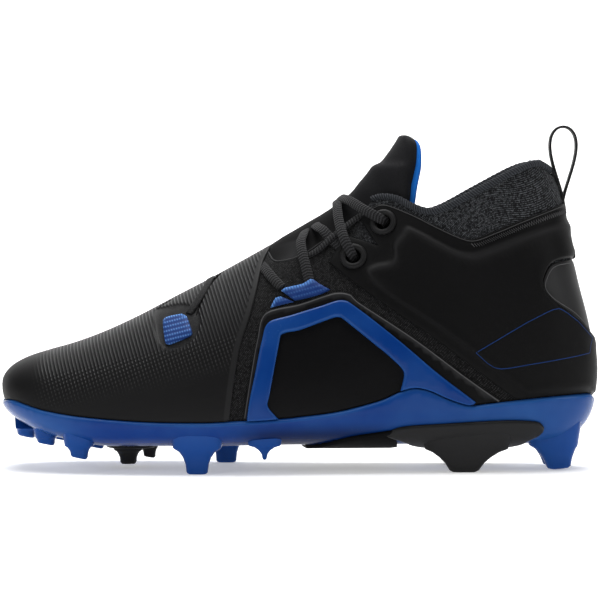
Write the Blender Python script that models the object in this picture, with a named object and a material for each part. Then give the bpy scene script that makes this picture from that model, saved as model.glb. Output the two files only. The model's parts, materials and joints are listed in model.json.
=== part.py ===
"""A mid-cut american football cleat for the left foot, as separate named solids.

Metres, +Z up. Toe at -X, heel at +X, the outer (lateral) side at -Y.
The floor is z = 0 and the shoe stands on its studs.
"""
import bpy
import math
import numpy as np
from mathutils import Vector
from mathutils.geometry import delaunay_2d_cdt

for leftover in list(bpy.data.objects):
    bpy.data.objects.remove(leftover, do_unlink=True)

# Driving sizes
SHOE_LENGTH = 0.299          # toe tip to heel back
BALL_WIDTH = 0.0985          # across the widest part of the forefoot
INSTEP_HEIGHT = 0.124        # footbed to the top of the instep
HEEL_HEIGHT = 0.1385         # footbed to the collar's back edge
STUD_LENGTH = 0.012          # floor to the plate's underside
PLATE_FLOOR = 0.0027
PLATE_WALL = 0.0022
CORE_THICKNESS = 0.0018      # the dark mouldings under the plate
UPPER_WALL = 0.0022
SKIN_THICKNESS = 0.0009      # ribbed skin over the vamp
PANEL_THICKNESS = 0.0008     # fabric panel on the midfoot
CAGE_THICKNESS = 0.0022
FLANGE_THICKNESS = 0.0011    # thin border of the quarter shell
BODY_THICKNESS = 0.0022      # raised body of the quarter shell
BODY_STEP = 0.0016           # width of the slope from border to body
HEEL_PANEL_THICKNESS = 0.0010
TONGUE_THICKNESS = 0.0045
LINING_THICKNESS = 0.0014
INSOLE_THICKNESS = 0.0038
COLLAR_ROLL = 0.0034         # diameter of the knitted roll round the collar
LACE_WIDTH = 0.0050
LACE_THICKNESS = 0.0016
WEBBING_THICKNESS = 0.0013
EYELET_RADIUS = 0.0066
EYELET_HOLE = 0.0039
EYELET_HEIGHT = 0.0019
PULL_LOOP_WIDTH = 0.0090
PULL_LOOP_HEIGHT = 0.0375
PULL_LOOP_SPREAD = 0.0130
FIT_GAP = 0.0003             # between pieces that meet

BED_HEIGHT = STUD_LENGTH + PLATE_FLOOR + FIT_GAP
ORIGIN_ALONG = 0.4976        # what lies over the origin, as shares of length and width
ORIGIN_ACROSS = -0.0158

# The last, as a fan of section planes from the toe tip to the ankle.
# Each plane runs from its top point to its low point in the side view. Along is
# a share of SHOE_LENGTH from the toe, up a share of the height above the footbed.
# Centre, lateral and medial are half-width shares of BALL_WIDTH, widest is how far
# up the plane the section is widest, and the rounds are its exponents.
# top along, top up, low along, low up, centre, lateral, medial, widest, top round, low round
LAST = (
    (0.003, 0.214, 0.003, 0.206, 0.091, 0.000, 0.000, 0.50, 2.20, 2.4),
    (0.005, 0.242, 0.006, 0.177, 0.091, 0.112, 0.112, 0.50, 2.20, 2.4),
    (0.012, 0.268, 0.012, 0.141, 0.091, 0.193, 0.188, 0.47, 2.20, 2.6),
    (0.025, 0.294, 0.025, 0.109, 0.086, 0.264, 0.249, 0.43, 2.20, 2.8),
    (0.048, 0.321, 0.048, 0.077, 0.081, 0.335, 0.299, 0.38, 2.20, 3.0),
    (0.082, 0.347, 0.080, 0.044, 0.071, 0.396, 0.345, 0.34, 2.20, 3.2),
    (0.125, 0.377, 0.125, 0.020, 0.061, 0.442, 0.381, 0.31, 2.15, 3.4),
    (0.176, 0.423, 0.176, 0.000, 0.046, 0.472, 0.411, 0.29, 2.10, 3.4),
    (0.234, 0.488, 0.234, 0.000, 0.030, 0.492, 0.437, 0.27, 2.00, 3.4),
    (0.293, 0.563, 0.293, 0.000, 0.015, 0.503, 0.442, 0.26, 1.90, 3.4),
    (0.355, 0.641, 0.355, 0.000, 0.005, 0.503, 0.426, 0.25, 1.85, 3.4),
    (0.416, 0.722, 0.416, 0.002, 0.000, 0.487, 0.401, 0.24, 1.80, 3.4),
    (0.473, 0.800, 0.483, 0.004, 0.000, 0.467, 0.381, 0.24, 1.80, 3.4),
    (0.517, 0.863, 0.554, 0.004, 0.000, 0.442, 0.365, 0.25, 1.80, 3.4),
    (0.548, 0.907, 0.627, 0.004, 0.000, 0.416, 0.355, 0.27, 1.85, 3.4),
    (0.574, 0.948, 0.704, 0.004, 0.000, 0.396, 0.350, 0.30, 1.90, 3.4),
    (0.592, 0.984, 0.784, 0.004, 0.000, 0.381, 0.350, 0.33, 1.95, 3.4),
    (0.605, 1.020, 0.865, 0.004, 0.000, 0.371, 0.355, 0.36, 2.00, 3.2),
    (0.617, 1.055, 0.935, 0.014, 0.000, 0.365, 0.355, 0.40, 2.00, 2.8),
    (0.627, 1.090, 0.970, 0.072, 0.000, 0.360, 0.355, 0.44, 2.00, 2.5),
    (0.636, 1.124, 0.985, 0.159, 0.000, 0.355, 0.350, 0.47, 2.00, 2.4),
    (0.645, 1.157, 0.989, 0.274, 0.000, 0.350, 0.345, 0.49, 2.00, 2.3),
    (0.653, 1.190, 0.978, 0.419, 0.000, 0.345, 0.340, 0.50, 2.00, 2.2),
    (0.662, 1.222, 0.960, 0.570, 0.000, 0.340, 0.335, 0.50, 2.00, 2.2),
    (0.672, 1.253, 0.946, 0.715, 0.000, 0.335, 0.330, 0.50, 2.00, 2.2),
    (0.682, 1.283, 0.935, 0.870, 0.000, 0.330, 0.325, 0.50, 2.00, 2.2),
    (0.694, 1.311, 0.913, 0.993, 0.000, 0.325, 0.320, 0.50, 2.00, 2.2),
    (0.706, 1.335, 0.895, 1.112, 0.000, 0.320, 0.315, 0.50, 2.00, 2.2),
)

# Outlines in the side view. Along and up are shares as above; a soft point is
# rounded through, a hard one is a corner.
SOFT, HARD = 1, 0

# along, up, soft or hard
COLLAR_RIM = (
    (0.609, 0.947, HARD), (0.615, 0.971, SOFT), (0.632, 0.983, SOFT),
    (0.658, 0.968, SOFT), (0.684, 0.926, SOFT), (0.713, 0.894, SOFT),
    (0.745, 0.901, SOFT), (0.794, 0.936, SOFT), (0.860, 0.987, SOFT),
    (0.888, 1.002, SOFT), (0.901, 0.998, HARD),
)
THROAT_EDGE = (
    (0.447, 0.751, HARD), (0.460, 0.715, SOFT), (0.500, 0.737, SOFT),
    (0.541, 0.800, SOFT), (0.574, 0.856, SOFT), (0.609, 0.947, HARD),
)
PLATE_EDGE_LATERAL = (
    (0.008, 0.159, SOFT), (0.028, 0.162, SOFT), (0.079, 0.128, SOFT), (0.144, 0.105, SOFT),
    (0.240, 0.090, SOFT), (0.340, 0.088, SOFT), (0.402, 0.094, SOFT), (0.466, 0.102, SOFT),
    (0.499, 0.109, SOFT), (0.564, 0.129, SOFT), (0.629, 0.168, SOFT), (0.662, 0.200, SOFT),
    (0.686, 0.212, SOFT), (0.711, 0.199, SOFT), (0.744, 0.163, SOFT), (0.777, 0.139, SOFT),
    (0.809, 0.143, SOFT), (0.890, 0.159, SOFT), (0.956, 0.168, SOFT), (0.976, 0.168, SOFT),
)
PLATE_EDGE_MEDIAL = (
    (0.008, 0.159, SOFT), (0.028, 0.162, SOFT), (0.079, 0.128, SOFT), (0.144, 0.105, SOFT),
    (0.240, 0.090, SOFT), (0.340, 0.088, SOFT), (0.466, 0.102, SOFT), (0.564, 0.124, SOFT),
    (0.662, 0.138, SOFT), (0.809, 0.143, SOFT), (0.890, 0.159, SOFT), (0.976, 0.168, SOFT),
)
VAMP_EDGE = (
    (0.452, 0.770, HARD), (0.439, 0.705, SOFT), (0.429, 0.597, SOFT), (0.417, 0.490, SOFT),
    (0.403, 0.388, SOFT), (0.393, 0.254, SOFT), (0.385, 0.100, HARD),
)
QUARTER_TOP = (
    (0.612, 0.916, HARD), (0.636, 0.936, SOFT), (0.679, 0.889, SOFT), (0.724, 0.818, SOFT),
    (0.760, 0.765, SOFT), (0.782, 0.747, SOFT), (0.813, 0.761, SOFT), (0.858, 0.788, SOFT),
    (0.905, 0.822, SOFT), (0.935, 0.845, HARD),
)
QUARTER_FRONT = (
    (0.851, 0.158, HARD), (0.800, 0.246, SOFT), (0.718, 0.400, SOFT), (0.663, 0.499, SOFT),
    (0.619, 0.578, SOFT), (0.574, 0.659, SOFT), (0.548, 0.709, HARD), (0.568, 0.784, SOFT),
    (0.582, 0.811, HARD), (0.627, 0.775, HARD), (0.600, 0.885, SOFT), (0.612, 0.916, HARD),
)
BODY_TOP = (
    (0.662, 0.826, SOFT), (0.674, 0.849, SOFT), (0.701, 0.815, SOFT), (0.729, 0.768, SOFT),
    (0.756, 0.728, SOFT), (0.778, 0.712, SOFT), (0.796, 0.717, SOFT), (0.858, 0.752, SOFT),
    (0.903, 0.783, SOFT), (0.939, 0.796, HARD),
)
BODY_FRONT = (
    (0.868, 0.160, HARD), (0.806, 0.275, SOFT), (0.724, 0.430, SOFT), (0.663, 0.536, SOFT),
    (0.635, 0.586, SOFT), (0.616, 0.625, SOFT), (0.604, 0.681, SOFT), (0.620, 0.709, SOFT),
    (0.643, 0.719, SOFT), (0.650, 0.742, SOFT), (0.650, 0.789, SOFT), (0.662, 0.826, HARD),
)
HEEL_PANEL = (
    (0.948, 0.646, SOFT), (0.916, 0.634, SOFT), (0.903, 0.605, SOFT), (0.897, 0.553, SOFT),
    (0.914, 0.500, SOFT), (0.952, 0.443, SOFT), (0.981, 0.375, SOFT),
)
CAGE = (
    (0.413, 0.104, HARD), (0.418, 0.179, SOFT), (0.428, 0.291, SOFT), (0.438, 0.403, SOFT),
    (0.449, 0.471, SOFT), (0.484, 0.499, SOFT), (0.532, 0.535, SOFT), (0.568, 0.560, SOFT),
    (0.594, 0.529, SOFT), (0.662, 0.398, SOFT), (0.727, 0.260, SOFT), (0.787, 0.152, HARD),
    (0.777, 0.153, SOFT), (0.744, 0.180, SOFT), (0.711, 0.217, SOFT), (0.686, 0.231, SOFT),
    (0.663, 0.221, HARD), (0.668, 0.249, SOFT), (0.668, 0.283, SOFT), (0.646, 0.339, SOFT),
    (0.613, 0.406, SOFT), (0.566, 0.495, SOFT), (0.556, 0.495, SOFT), (0.500, 0.446, SOFT),
    (0.472, 0.431, SOFT), (0.466, 0.396, SOFT), (0.450, 0.197, SOFT), (0.447, 0.152, SOFT),
    (0.464, 0.113, HARD),
)
MIDFOOT_PANEL = (
    (0.407, 0.102, HARD), (0.412, 0.178, SOFT), (0.420, 0.293, SOFT), (0.429, 0.407, SOFT),
    (0.443, 0.511, SOFT), (0.500, 0.550, SOFT), (0.557, 0.594, SOFT), (0.585, 0.586, SOFT),
    (0.593, 0.563, SOFT), (0.687, 0.406, SOFT), (0.771, 0.249, SOFT), (0.828, 0.156, HARD),
)
TONGUE_EDGE = (
    (0.431, 0.725, HARD), (0.459, 0.665, SOFT), (0.500, 0.680, SOFT), (0.541, 0.735, SOFT),
    (0.583, 0.772, SOFT), (0.625, 0.825, SOFT), (0.655, 0.865, SOFT), (0.674, 0.900, SOFT),
    (0.682, 0.931, SOFT), (0.688, 0.987, SOFT), (0.692, 1.073, SOFT), (0.691, 1.134, SOFT),
    (0.685, 1.178, SOFT), (0.675, 1.211, SOFT), (0.664, 1.218, HARD),
)
LINING_FOOT = (0.640, 0.870)         # where the lining starts, on the tongue's edge
FOREFOOT_LOOP = (
    (0.276, 0.471, HARD), (0.312, 0.496, HARD), (0.325, 0.423, HARD), (0.282, 0.387, HARD),
)
MIDFOOT_LOOP = (
    (0.457, 0.530, HARD), (0.462, 0.565, SOFT), (0.473, 0.596, SOFT), (0.504, 0.620, SOFT),
    (0.517, 0.640, HARD), (0.549, 0.603, HARD), (0.500, 0.563, SOFT),
)
# along, up of the eyelets' centres
EYELETS = (("top", 0.638, 0.862), ("low", 0.588, 0.731))

# Lace runs in the side view: along, up, and side (-1 lateral, 0 ridge, 1 medial)
TOP_LACE = ((0.605, 0.853, -1), (0.588, 0.884, -1), (0.560, 0.920, 0), (0.570, 0.860, 1), (0.577, 0.818, 1))
LOW_LACE = ((0.523, 0.665, -1), (0.512, 0.760, -1), (0.516, 0.860, 0), (0.545, 0.810, 1), (0.559, 0.782, 1))
FOREFOOT_LACE = ((0.314, 0.520, -1), (0.333, 0.565, -1), (0.340, 0.620, 0), (0.333, 0.565, 1), (0.314, 0.520, 1))

# Studs: name, along, across, tip long, tip wide, root long, root wide, reach.
# Along and the longs are shares of SHOE_LENGTH, across and the wides of BALL_WIDTH,
# reach is how much of the way from the plate to the floor the stud goes down.
BLUE_STUDS = (
    ("toe", 0.040, 0.080, 0.026, 0.190, 0.040, 0.260, 0.00),
    ("toe_lateral", 0.078, -0.130, 0.022, 0.090, 0.036, 0.150, 0.00),
    ("toe_medial", 0.090, 0.270, 0.022, 0.090, 0.036, 0.150, 0.00),
    ("tread_lateral", 0.137, -0.290, 0.026, 0.080, 0.046, 0.130, 0.27),
    ("tread_medial", 0.158, 0.315, 0.026, 0.080, 0.046, 0.130, 0.27),
    ("ball_lateral", 0.332, -0.385, 0.033, 0.075, 0.080, 0.165, 1.00),
    ("ball_medial", 0.374, 0.318, 0.033, 0.075, 0.075, 0.150, 1.00),
    ("fin_lateral", 0.442, -0.370, 0.010, 0.045, 0.044, 0.090, 0.20),
    ("heel_rear_lateral", 0.922, -0.125, 0.034, 0.105, 0.054, 0.145, 0.88),
    ("heel_rear_medial", 0.922, 0.125, 0.034, 0.105, 0.054, 0.145, 0.88),
)
BALL_CENTRE_STUD = ("ball_centre", 0.212, 0.020, 0.026, 0.090, 0.052, 0.160, 0.70)
HEEL_STUDS = {
    "lateral": ("heel_lateral", 0.770, -0.265, 0.043, 0.075, 0.105, 0.110, 1.00),
    "medial": ("heel_medial", 0.770, 0.255, 0.043, 0.075, 0.105, 0.110, 1.00),
}

# How finely the form is sampled, and the facets of the solids
ROWS_BETWEEN = 8
STEPS_ROUND = 64
FACET_LENGTH = 0.0142        # a facet is this long where the form is straight
FACET_TURN = 0.56            # and turns this far, in radians, where it is tight
THINNEST = 0.0005            # no sheet is thinner than this
ROUND_SHARE = 1.16           # one side's girth in the flat pattern, by BALL_WIDTH


def smooth_rows(table, at):
    """Reads a table at fractional rows along a Catmull-Rom curve."""
    at = np.asarray(at, float)
    last = len(table) - 1
    row = np.clip(np.floor(at).astype(int), 0, last - 1)
    t = (at - row)[..., None]
    before, start = table[np.maximum(row - 1, 0)], table[row]
    end, after = table[row + 1], table[np.minimum(row + 2, last)]
    bend = 2 * before - 5 * start + 4 * end - after
    return start + 0.5 * t * (end - before + t * (bend + t * (3 * (start - end) + after - before)))


def rise(along):
    """The height that an up share of 1 stands for: instep in front, heel behind."""
    t = np.clip((np.asarray(along, float) - 0.6) / 0.3, 0, 1)
    return INSTEP_HEIGHT + (HEEL_HEIGHT - INSTEP_HEIGHT) * t * t * (3 - 2 * t)


def side_view(along, up):
    """Side-view shares to metres, as x and z."""
    along, up = np.asarray(along, float), np.asarray(up, float)
    x = (along - ORIGIN_ALONG) * SHOE_LENGTH
    return np.stack([x, BED_HEIGHT + up * rise(along)], axis=-1)


def section(row):
    """One closed section, from the low point up the medial side and down the lateral."""
    top_along, top_up, low_along, low_up, centre, lateral, medial, widest, top_round, low_round = row
    top, low = side_view(top_along, top_up), side_view(low_along, low_up)
    angle = np.linspace(0, math.pi, 241)
    cosine, sine = np.cos(angle), np.abs(np.sin(angle))
    upper = angle <= math.pi / 2
    reach = sine ** (2 / np.where(upper, top_round, low_round))
    reach[-1] = 0
    share_up = np.where(upper, widest + (1 - widest) * np.abs(cosine) ** (2 / top_round),
                        widest - widest * np.abs(cosine) ** (2 / low_round))
    sides = []
    for half, sign in ((medial, 1), (lateral, -1)):
        plane = low + share_up[:, None] * (top - low)
        y = (centre - ORIGIN_ACROSS + sign * half * reach) * BALL_WIDTH
        points = np.column_stack([plane[:, 0], y, plane[:, 1]])
        run = np.concatenate([[0], np.cumsum(np.linalg.norm(np.diff(points, axis=0), axis=1))])
        even = np.linspace(0, run[-1], STEPS_ROUND + 1)
        sides.append(np.column_stack([np.interp(even, run, points[:, k]) for k in range(3)]))
    return np.vstack([sides[0][:0:-1], sides[1]])


LAST_ROWS = np.array(LAST)
ROW_COUNT = len(LAST) - 1
FORM = np.array([section(smooth_rows(LAST_ROWS, at))
                 for at in np.linspace(0, ROW_COUNT, ROW_COUNT * ROWS_BETWEEN + 1)])


def form_normals():
    """Outward normals of the form at its samples."""
    along, across = np.gradient(FORM, axis=0), np.gradient(FORM, axis=1)
    seam = (FORM[:, 1] - FORM[:, -2]) / 2
    across[:, 0], across[:, -1] = seam, seam
    normals = np.cross(across, along)
    normals[0] = (-1, 0, 0)
    normals /= np.linalg.norm(normals, axis=2, keepdims=True)
    outward = FORM - FORM.mean(axis=1, keepdims=True)
    middle = len(FORM) // 2
    return normals * np.sign((normals[middle] * outward[middle]).sum())


NORMALS = form_normals()
NORMALS[0] = (-1, 0, 0)


def read_form(samples, u, w):
    """Reads an array of the form at row u and round w, where w has period 2."""
    u = np.clip(np.asarray(u, float) * ROWS_BETWEEN, 0, ROW_COUNT * ROWS_BETWEEN - 1e-6)
    v = (((np.asarray(w, float) + 1) % 2) - 1 + 1) * STEPS_ROUND
    v = np.clip(v, 0, 2 * STEPS_ROUND - 1e-6)
    i, j = u.astype(int), v.astype(int)
    s, t = (u - i)[..., None], (v - j)[..., None]
    near = samples[i, j] * (1 - t) + samples[i, j + 1] * t
    far = samples[i + 1, j] * (1 - t) + samples[i + 1, j + 1] * t
    return near * (1 - s) + far * s


def on_form(u, w, offset=0.0):
    """Points that stand off the form by an offset along its normals."""
    normal = read_form(NORMALS, u, w)
    normal = normal / np.linalg.norm(normal, axis=-1, keepdims=True)
    return read_form(FORM, u, w) + normal * np.asarray(offset)[..., None]


def nearest_on_form(targets, axes, lowest, highest, below=False):
    """Row and round where the form, seen along one axis or from below, meets the targets."""
    rows = np.linspace(0, ROW_COUNT, ROW_COUNT * ROWS_BETWEEN + 1)
    rounds = np.linspace(lowest, highest, STEPS_ROUND + 1)
    u, w = np.meshgrid(rows, rounds, indexing="ij")
    seen = on_form(u, w)[..., axes]
    hidden = read_form(NORMALS, u, w)[..., 2] > -0.45 if below else np.zeros(u.shape, bool)
    found = []
    for target in targets:
        away = np.where(hidden, np.inf, np.linalg.norm(seen - target, axis=-1))
        i, j = np.unravel_index(np.argmin(away), away.shape)
        here, step = np.array([rows[i], rounds[j]]), np.array([0.5 / ROWS_BETWEEN, 0.5 / STEPS_ROUND])
        for _ in range(14):
            around = here + step * np.array([(a, b) for a in (-1, 0, 1) for b in (-1, 0, 1)])
            around[:, 0] = np.clip(around[:, 0], 0, ROW_COUNT)
            around[:, 1] = np.clip(around[:, 1], lowest, highest)
            miss = np.linalg.norm(on_form(around[:, 0], around[:, 1])[:, axes] - target, axis=-1)
            best = int(np.argmin(miss))
            step = step / 2 if best == 4 else step
            here = around[best]
        found.append(here)
    return np.array(found)


SAMPLED_ROWS = np.linspace(0, ROW_COUNT, ROW_COUNT * ROWS_BETWEEN + 1)
SIDE_LINE = on_form(SAMPLED_ROWS, np.full(len(SAMPLED_ROWS), 0.45))
ROW_RUN = np.concatenate([[0], np.cumsum(np.linalg.norm(np.diff(SIDE_LINE, axis=0), axis=1))])
ROUND_LENGTH = ROUND_SHARE * BALL_WIDTH


def flat(path):
    """Rows and rounds as a flat pattern in metres."""
    path = np.asarray(path, float)
    return np.column_stack([np.interp(path[:, 0], SAMPLED_ROWS, ROW_RUN), path[:, 1] * ROUND_LENGTH])


def unflat(points):
    """A flat pattern as rows and rounds."""
    return np.column_stack([np.interp(points[:, 0], ROW_RUN, SAMPLED_ROWS), points[:, 1] / ROUND_LENGTH])


def facets_along(path, length):
    """How many facets a path takes up to each point, by its length and its turning."""
    steps = np.linalg.norm(np.diff(on_form(path[:, 0], path[:, 1]), axis=0), axis=1)
    normals = read_form(NORMALS, path[:, 0], path[:, 1])
    normals /= np.linalg.norm(normals, axis=1, keepdims=True)
    turns = np.arccos(np.clip(np.sum(normals[1:] * normals[:-1], axis=1), -1, 1))
    return np.concatenate([[0], np.cumsum(steps / length + turns / FACET_TURN)])


def spaced(path, length=FACET_LENGTH):
    """A path read at even facets along the form, ends kept."""
    at = np.linspace(0, len(path) - 1, 6 * len(path) + 12)
    fine = np.column_stack([np.interp(at, np.arange(len(path)), path[:, k]) for k in range(2)])
    run = facets_along(fine, length)
    even = np.linspace(0, run[-1], max(1, round(run[-1])) + 1)
    return np.column_stack([np.interp(even, run, fine[:, k]) for k in range(2)])


def facet_corners():
    """Where facets have their corners inside a pattern: rows of places round the form."""
    corners = []
    along = np.column_stack([SAMPLED_ROWS, np.full(len(SAMPLED_ROWS), 0.45)])
    for row in spaced(along)[:, 0]:
        for side in (1, -1):
            round_it = np.column_stack([np.full(65, row), side * np.linspace(0, 1, 65)])
            rounds = spaced(round_it)[:, 1]
            corners += [(row, w) for w in rounds]
            corners += [(row, w + 2) for w in rounds if side < 0]
    return np.unique(np.round(corners, 6), axis=0)


def trace(outline, closed=False, step=0.003):
    """Side-view points along an outline, curved through its soft points, and its corners."""
    points = side_view([row[0] for row in outline], [row[1] for row in outline])
    soft = [row[2] for row in outline]
    count = len(points)
    if not closed:
        soft[0] = soft[-1] = HARD
    traced, corners = [], []
    for k in range(count if closed else count - 1):
        start, end = points[k], points[(k + 1) % count]
        before, after = points[k - 1], points[(k + 2) % count]
        leave = (end - before) / 2 if soft[k] else end - start
        arrive = (after - start) / 2 if soft[(k + 1) % count] else end - start
        pieces = max(1, round(np.linalg.norm(end - start) / step))
        if not soft[k]:
            corners.append(len(traced))
        for t in np.arange(pieces) / pieces:
            traced.append((2 * t**3 - 3 * t**2 + 1) * start + (t**3 - 2 * t**2 + t) * leave
                          + (3 * t**2 - 2 * t**3) * end + (t**3 - t**2) * arrive)
    corners.append(len(traced))
    traced.append(points[0] if closed else points[-1])
    return np.array(traced), corners


def lay(outline, closed=False, medial=False, raised=0.0, length=FACET_LENGTH):
    """An outline laid on the form's lateral or medial side as rows and rounds."""
    points, corners = trace(outline, closed)
    lowest = 1 if medial else 0
    path = nearest_on_form(points + np.array([0, raised]), [0, 2], lowest, lowest + 1)
    corners = sorted(set([0] + corners))
    parts = [spaced(path[a:b + 1], length)[:-1] for a, b in zip(corners, corners[1:])]
    return np.vstack(parts if closed else parts + [path[-1:]])


def across_ridge(path):
    """The same path on the other side of the ridge, where w is 0."""
    return path * np.array([1, -1])


def across_sole(path):
    """The same path on the other side of the sole's middle, where w is 1."""
    return path * np.array([1, -1]) + np.array([0, 2])


def seam_run(start, end, w):
    """Evenly spaced places along one round, both ends left out."""
    rows = np.linspace(start, end, 40)
    return spaced(np.column_stack([rows, np.full(len(rows), w)]))[1:-1]


def circle(u, w, radius, count):
    """A round path on the form about one point."""
    small = 1e-3
    by_u = (on_form(np.array([u + small]), np.array([w]))[0] - on_form(np.array([u]), np.array([w]))[0]) / small
    by_w = (on_form(np.array([u]), np.array([w + small]))[0] - on_form(np.array([u]), np.array([w]))[0]) / small
    first = by_u / np.linalg.norm(by_u)
    second = by_w - first * by_w.dot(first)
    second /= np.linalg.norm(second)
    turn = np.arange(count) * 2 * math.pi / count
    wanted = radius * (np.cos(turn)[:, None] * first + np.sin(turn)[:, None] * second)
    slope = np.column_stack([by_u, by_w])
    steps = np.linalg.lstsq(slope, wanted.T, rcond=None)[0].T
    return np.array([u, w]) + steps


def closed_spaced(loop):
    """A closed path with no side much longer than a facet."""
    parts = [spaced(np.array([a, b]))[:-1] for a, b in zip(loop, np.roll(loop, -1, axis=0))]
    return np.vstack(parts)


def inside(points, loop):
    """Which flat points lie inside a closed flat loop."""
    x, y = points[:, 0], points[:, 1]
    hit = np.zeros(len(points), bool)
    for (x1, y1), (x2, y2) in zip(loop, np.roll(loop, -1, axis=0)):
        crosses = (y1 > y) != (y2 > y)
        slope = np.where(crosses, (x2 - x1) * (y - y1) / np.where(y2 == y1, 1, y2 - y1) + x1, 0)
        hit ^= crosses & (x < slope)
    return hit


def away_from(points, loop):
    """Distance of flat points from a closed flat loop."""
    best = np.full(len(points), 1e9)
    for start, end in zip(loop, np.roll(loop, -1, axis=0)):
        span = end - start
        length = max(span.dot(span), 1e-18)
        t = np.clip(((points - start) @ span) / length, 0, 1)
        best = np.minimum(best, np.linalg.norm(points - start - t[:, None] * span, axis=1))
    return best


def shrink(loop, distance):
    """A flat loop moved inwards by a distance at each of its points."""
    before, after = np.roll(loop, 1, axis=0), np.roll(loop, -1, axis=0)
    tangent = (after - before) / np.linalg.norm(after - before, axis=1, keepdims=True)
    normal = np.column_stack([-tangent[:, 1], tangent[:, 0]])
    area = np.sum(loop[:, 0] * after[:, 1] - after[:, 0] * loop[:, 1])
    return loop + normal * distance * np.sign(area)


FACET_CORNERS = facet_corners()


def pattern(outer, holes=(), lines=()):
    """Triangles of a flat pattern, as rows and rounds and index triples."""
    outer_flat = flat(closed_spaced(outer))
    hole_flats = [flat(hole) for hole in holes]
    line_flats = [flat(closed_spaced(line)) for line in lines]
    inner_flat = flat(FACET_CORNERS)
    keep = inside(inner_flat, outer_flat)
    for loop in [outer_flat] + hole_flats + line_flats:
        keep &= away_from(inner_flat, loop) > 0.2 * FACET_LENGTH
    for loop in hole_flats:
        keep &= ~inside(inner_flat, loop)
    verts, edges = [], []
    for loop in [outer_flat] + hole_flats + line_flats:
        first = len(verts)
        verts.extend(loop)
        edges.extend((first + k, first + (k + 1) % len(loop)) for k in range(len(loop)))
    verts.extend(inner_flat[keep])
    out_verts, _, faces, *_ = delaunay_2d_cdt([Vector(v) for v in verts], edges, [], 0, 1e-7)
    points = np.array([tuple(v) for v in out_verts])
    faces = np.array([tuple(face) for face in faces])
    middle = points[faces].mean(axis=1)
    wanted = inside(middle, outer_flat)
    for loop in hole_flats:
        wanted &= ~inside(middle, loop)
    return unflat(points), faces[wanted]


def material(name, colour, roughness, metallic=0.0):
    """A plain Principled material."""
    made = bpy.data.materials.new(name)
    made.use_nodes = True
    shader = made.node_tree.nodes["Principled BSDF"]
    shader.inputs["Base Color"].default_value = (*colour, 1)
    shader.inputs["Roughness"].default_value = roughness
    shader.inputs["Metallic"].default_value = metallic
    return made


def solid(name, verts, faces, finish, crease=35):
    """An object from points and faces, shaded smooth between its creases."""
    mesh = bpy.data.meshes.new(name)
    mesh.from_pydata([tuple(v) for v in verts], [], [tuple(int(k) for k in f) for f in faces])
    mesh.validate()
    mesh.update()
    made = bpy.data.objects.new(name, mesh)
    bpy.context.scene.collection.objects.link(made)
    mesh.materials.append(material(name, *finish))
    mesh.shade_smooth()
    mesh.set_sharp_from_angle(angle=math.radians(crease))
    return made


def turned_out(verts, faces):
    """The faces, all turned round if the solid they close is inside out."""
    volume = 0.0
    for face in faces:
        for k in range(1, len(face) - 1):
            a, b, c = verts[face[0]], verts[face[k]], verts[face[k + 1]]
            volume += np.dot(a, np.cross(b, c))
    return faces if volume > 0 else [tuple(reversed(face)) for face in faces]


def stray(places, faces, levels, sign):
    """How far each facet strays past its level, outwards if the sign is 1, inwards if -1."""
    corners = on_form(places[:, 0], places[:, 1], levels)[faces]
    laid = flat(places)[faces]
    furthest = np.zeros(len(faces))
    for shares in ((1 / 3, 1 / 3, 1 / 3), (0.5, 0.5, 0), (0, 0.5, 0.5), (0.5, 0, 0.5)):
        at = unflat(np.einsum("k,fkc->fc", shares, laid))
        level = levels[faces] @ np.array(shares)
        true = on_form(at[:, 0], at[:, 1], level)
        outward = true - on_form(at[:, 0], at[:, 1], level - 0.001)
        middle = np.einsum("k,fkc->fc", shares, corners)
        furthest = np.maximum(furthest, sign * np.sum((middle - true) * outward, axis=1) / 0.001)
    return furthest


def sheet(name, finish, top, under, outer, holes=(), lines=()):
    """A closed solid over a pattern, between two levels that its facets never stray past."""
    places, faces = pattern(outer, holes, lines)
    u, w = places[:, 0], places[:, 1]
    # Places that meet at the toe tip or along the seam become one
    points = on_form(u, w)
    same = np.array([np.argmax(np.abs(points - point).sum(axis=1) < 2e-5) for point in points])
    order, index = np.unique(same, return_inverse=True)
    sides = []
    for level, sign in ((top, 1), (under, -1)):
        levels = level(u, w) if callable(level) else np.full(len(u), level)
        change = np.zeros(len(order))
        np.maximum.at(change, index[faces].ravel(), np.repeat(stray(places, faces, levels, sign), 3))
        sides.append(levels[order] - sign * change)
    sides[0] = np.maximum(sides[0], sides[1] + THINNEST)
    tops, unders = [on_form(u[order], w[order], side) for side in sides]
    skin = [tuple(index[list(face)]) for face in faces]
    skin = [face for face in skin if len(set(face)) == 3]
    used = {}
    for a, b, c in skin:
        for edge in ((a, b), (b, c), (c, a)):
            used[edge] = used.get(edge, 0) + 1
    rim = [edge for edge in used if (edge[1], edge[0]) not in used]
    count = len(tops)
    closed = list(skin) + [(a + count, c + count, b + count) for a, b, c in skin]
    closed += [(b, a, a + count, b + count) for a, b in rim]
    verts = np.vstack([tops, unders])
    return solid(name, verts, turned_out(verts, closed), finish)


def joined(target, tool):
    """Unites a tool's shape with the target."""
    tool.hide_render = True
    tool.display_type = "WIRE"
    cut = target.modifiers.new("join " + tool.name, "BOOLEAN")
    cut.operation = "UNION"
    cut.solver = "EXACT"
    cut.object = tool


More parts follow.
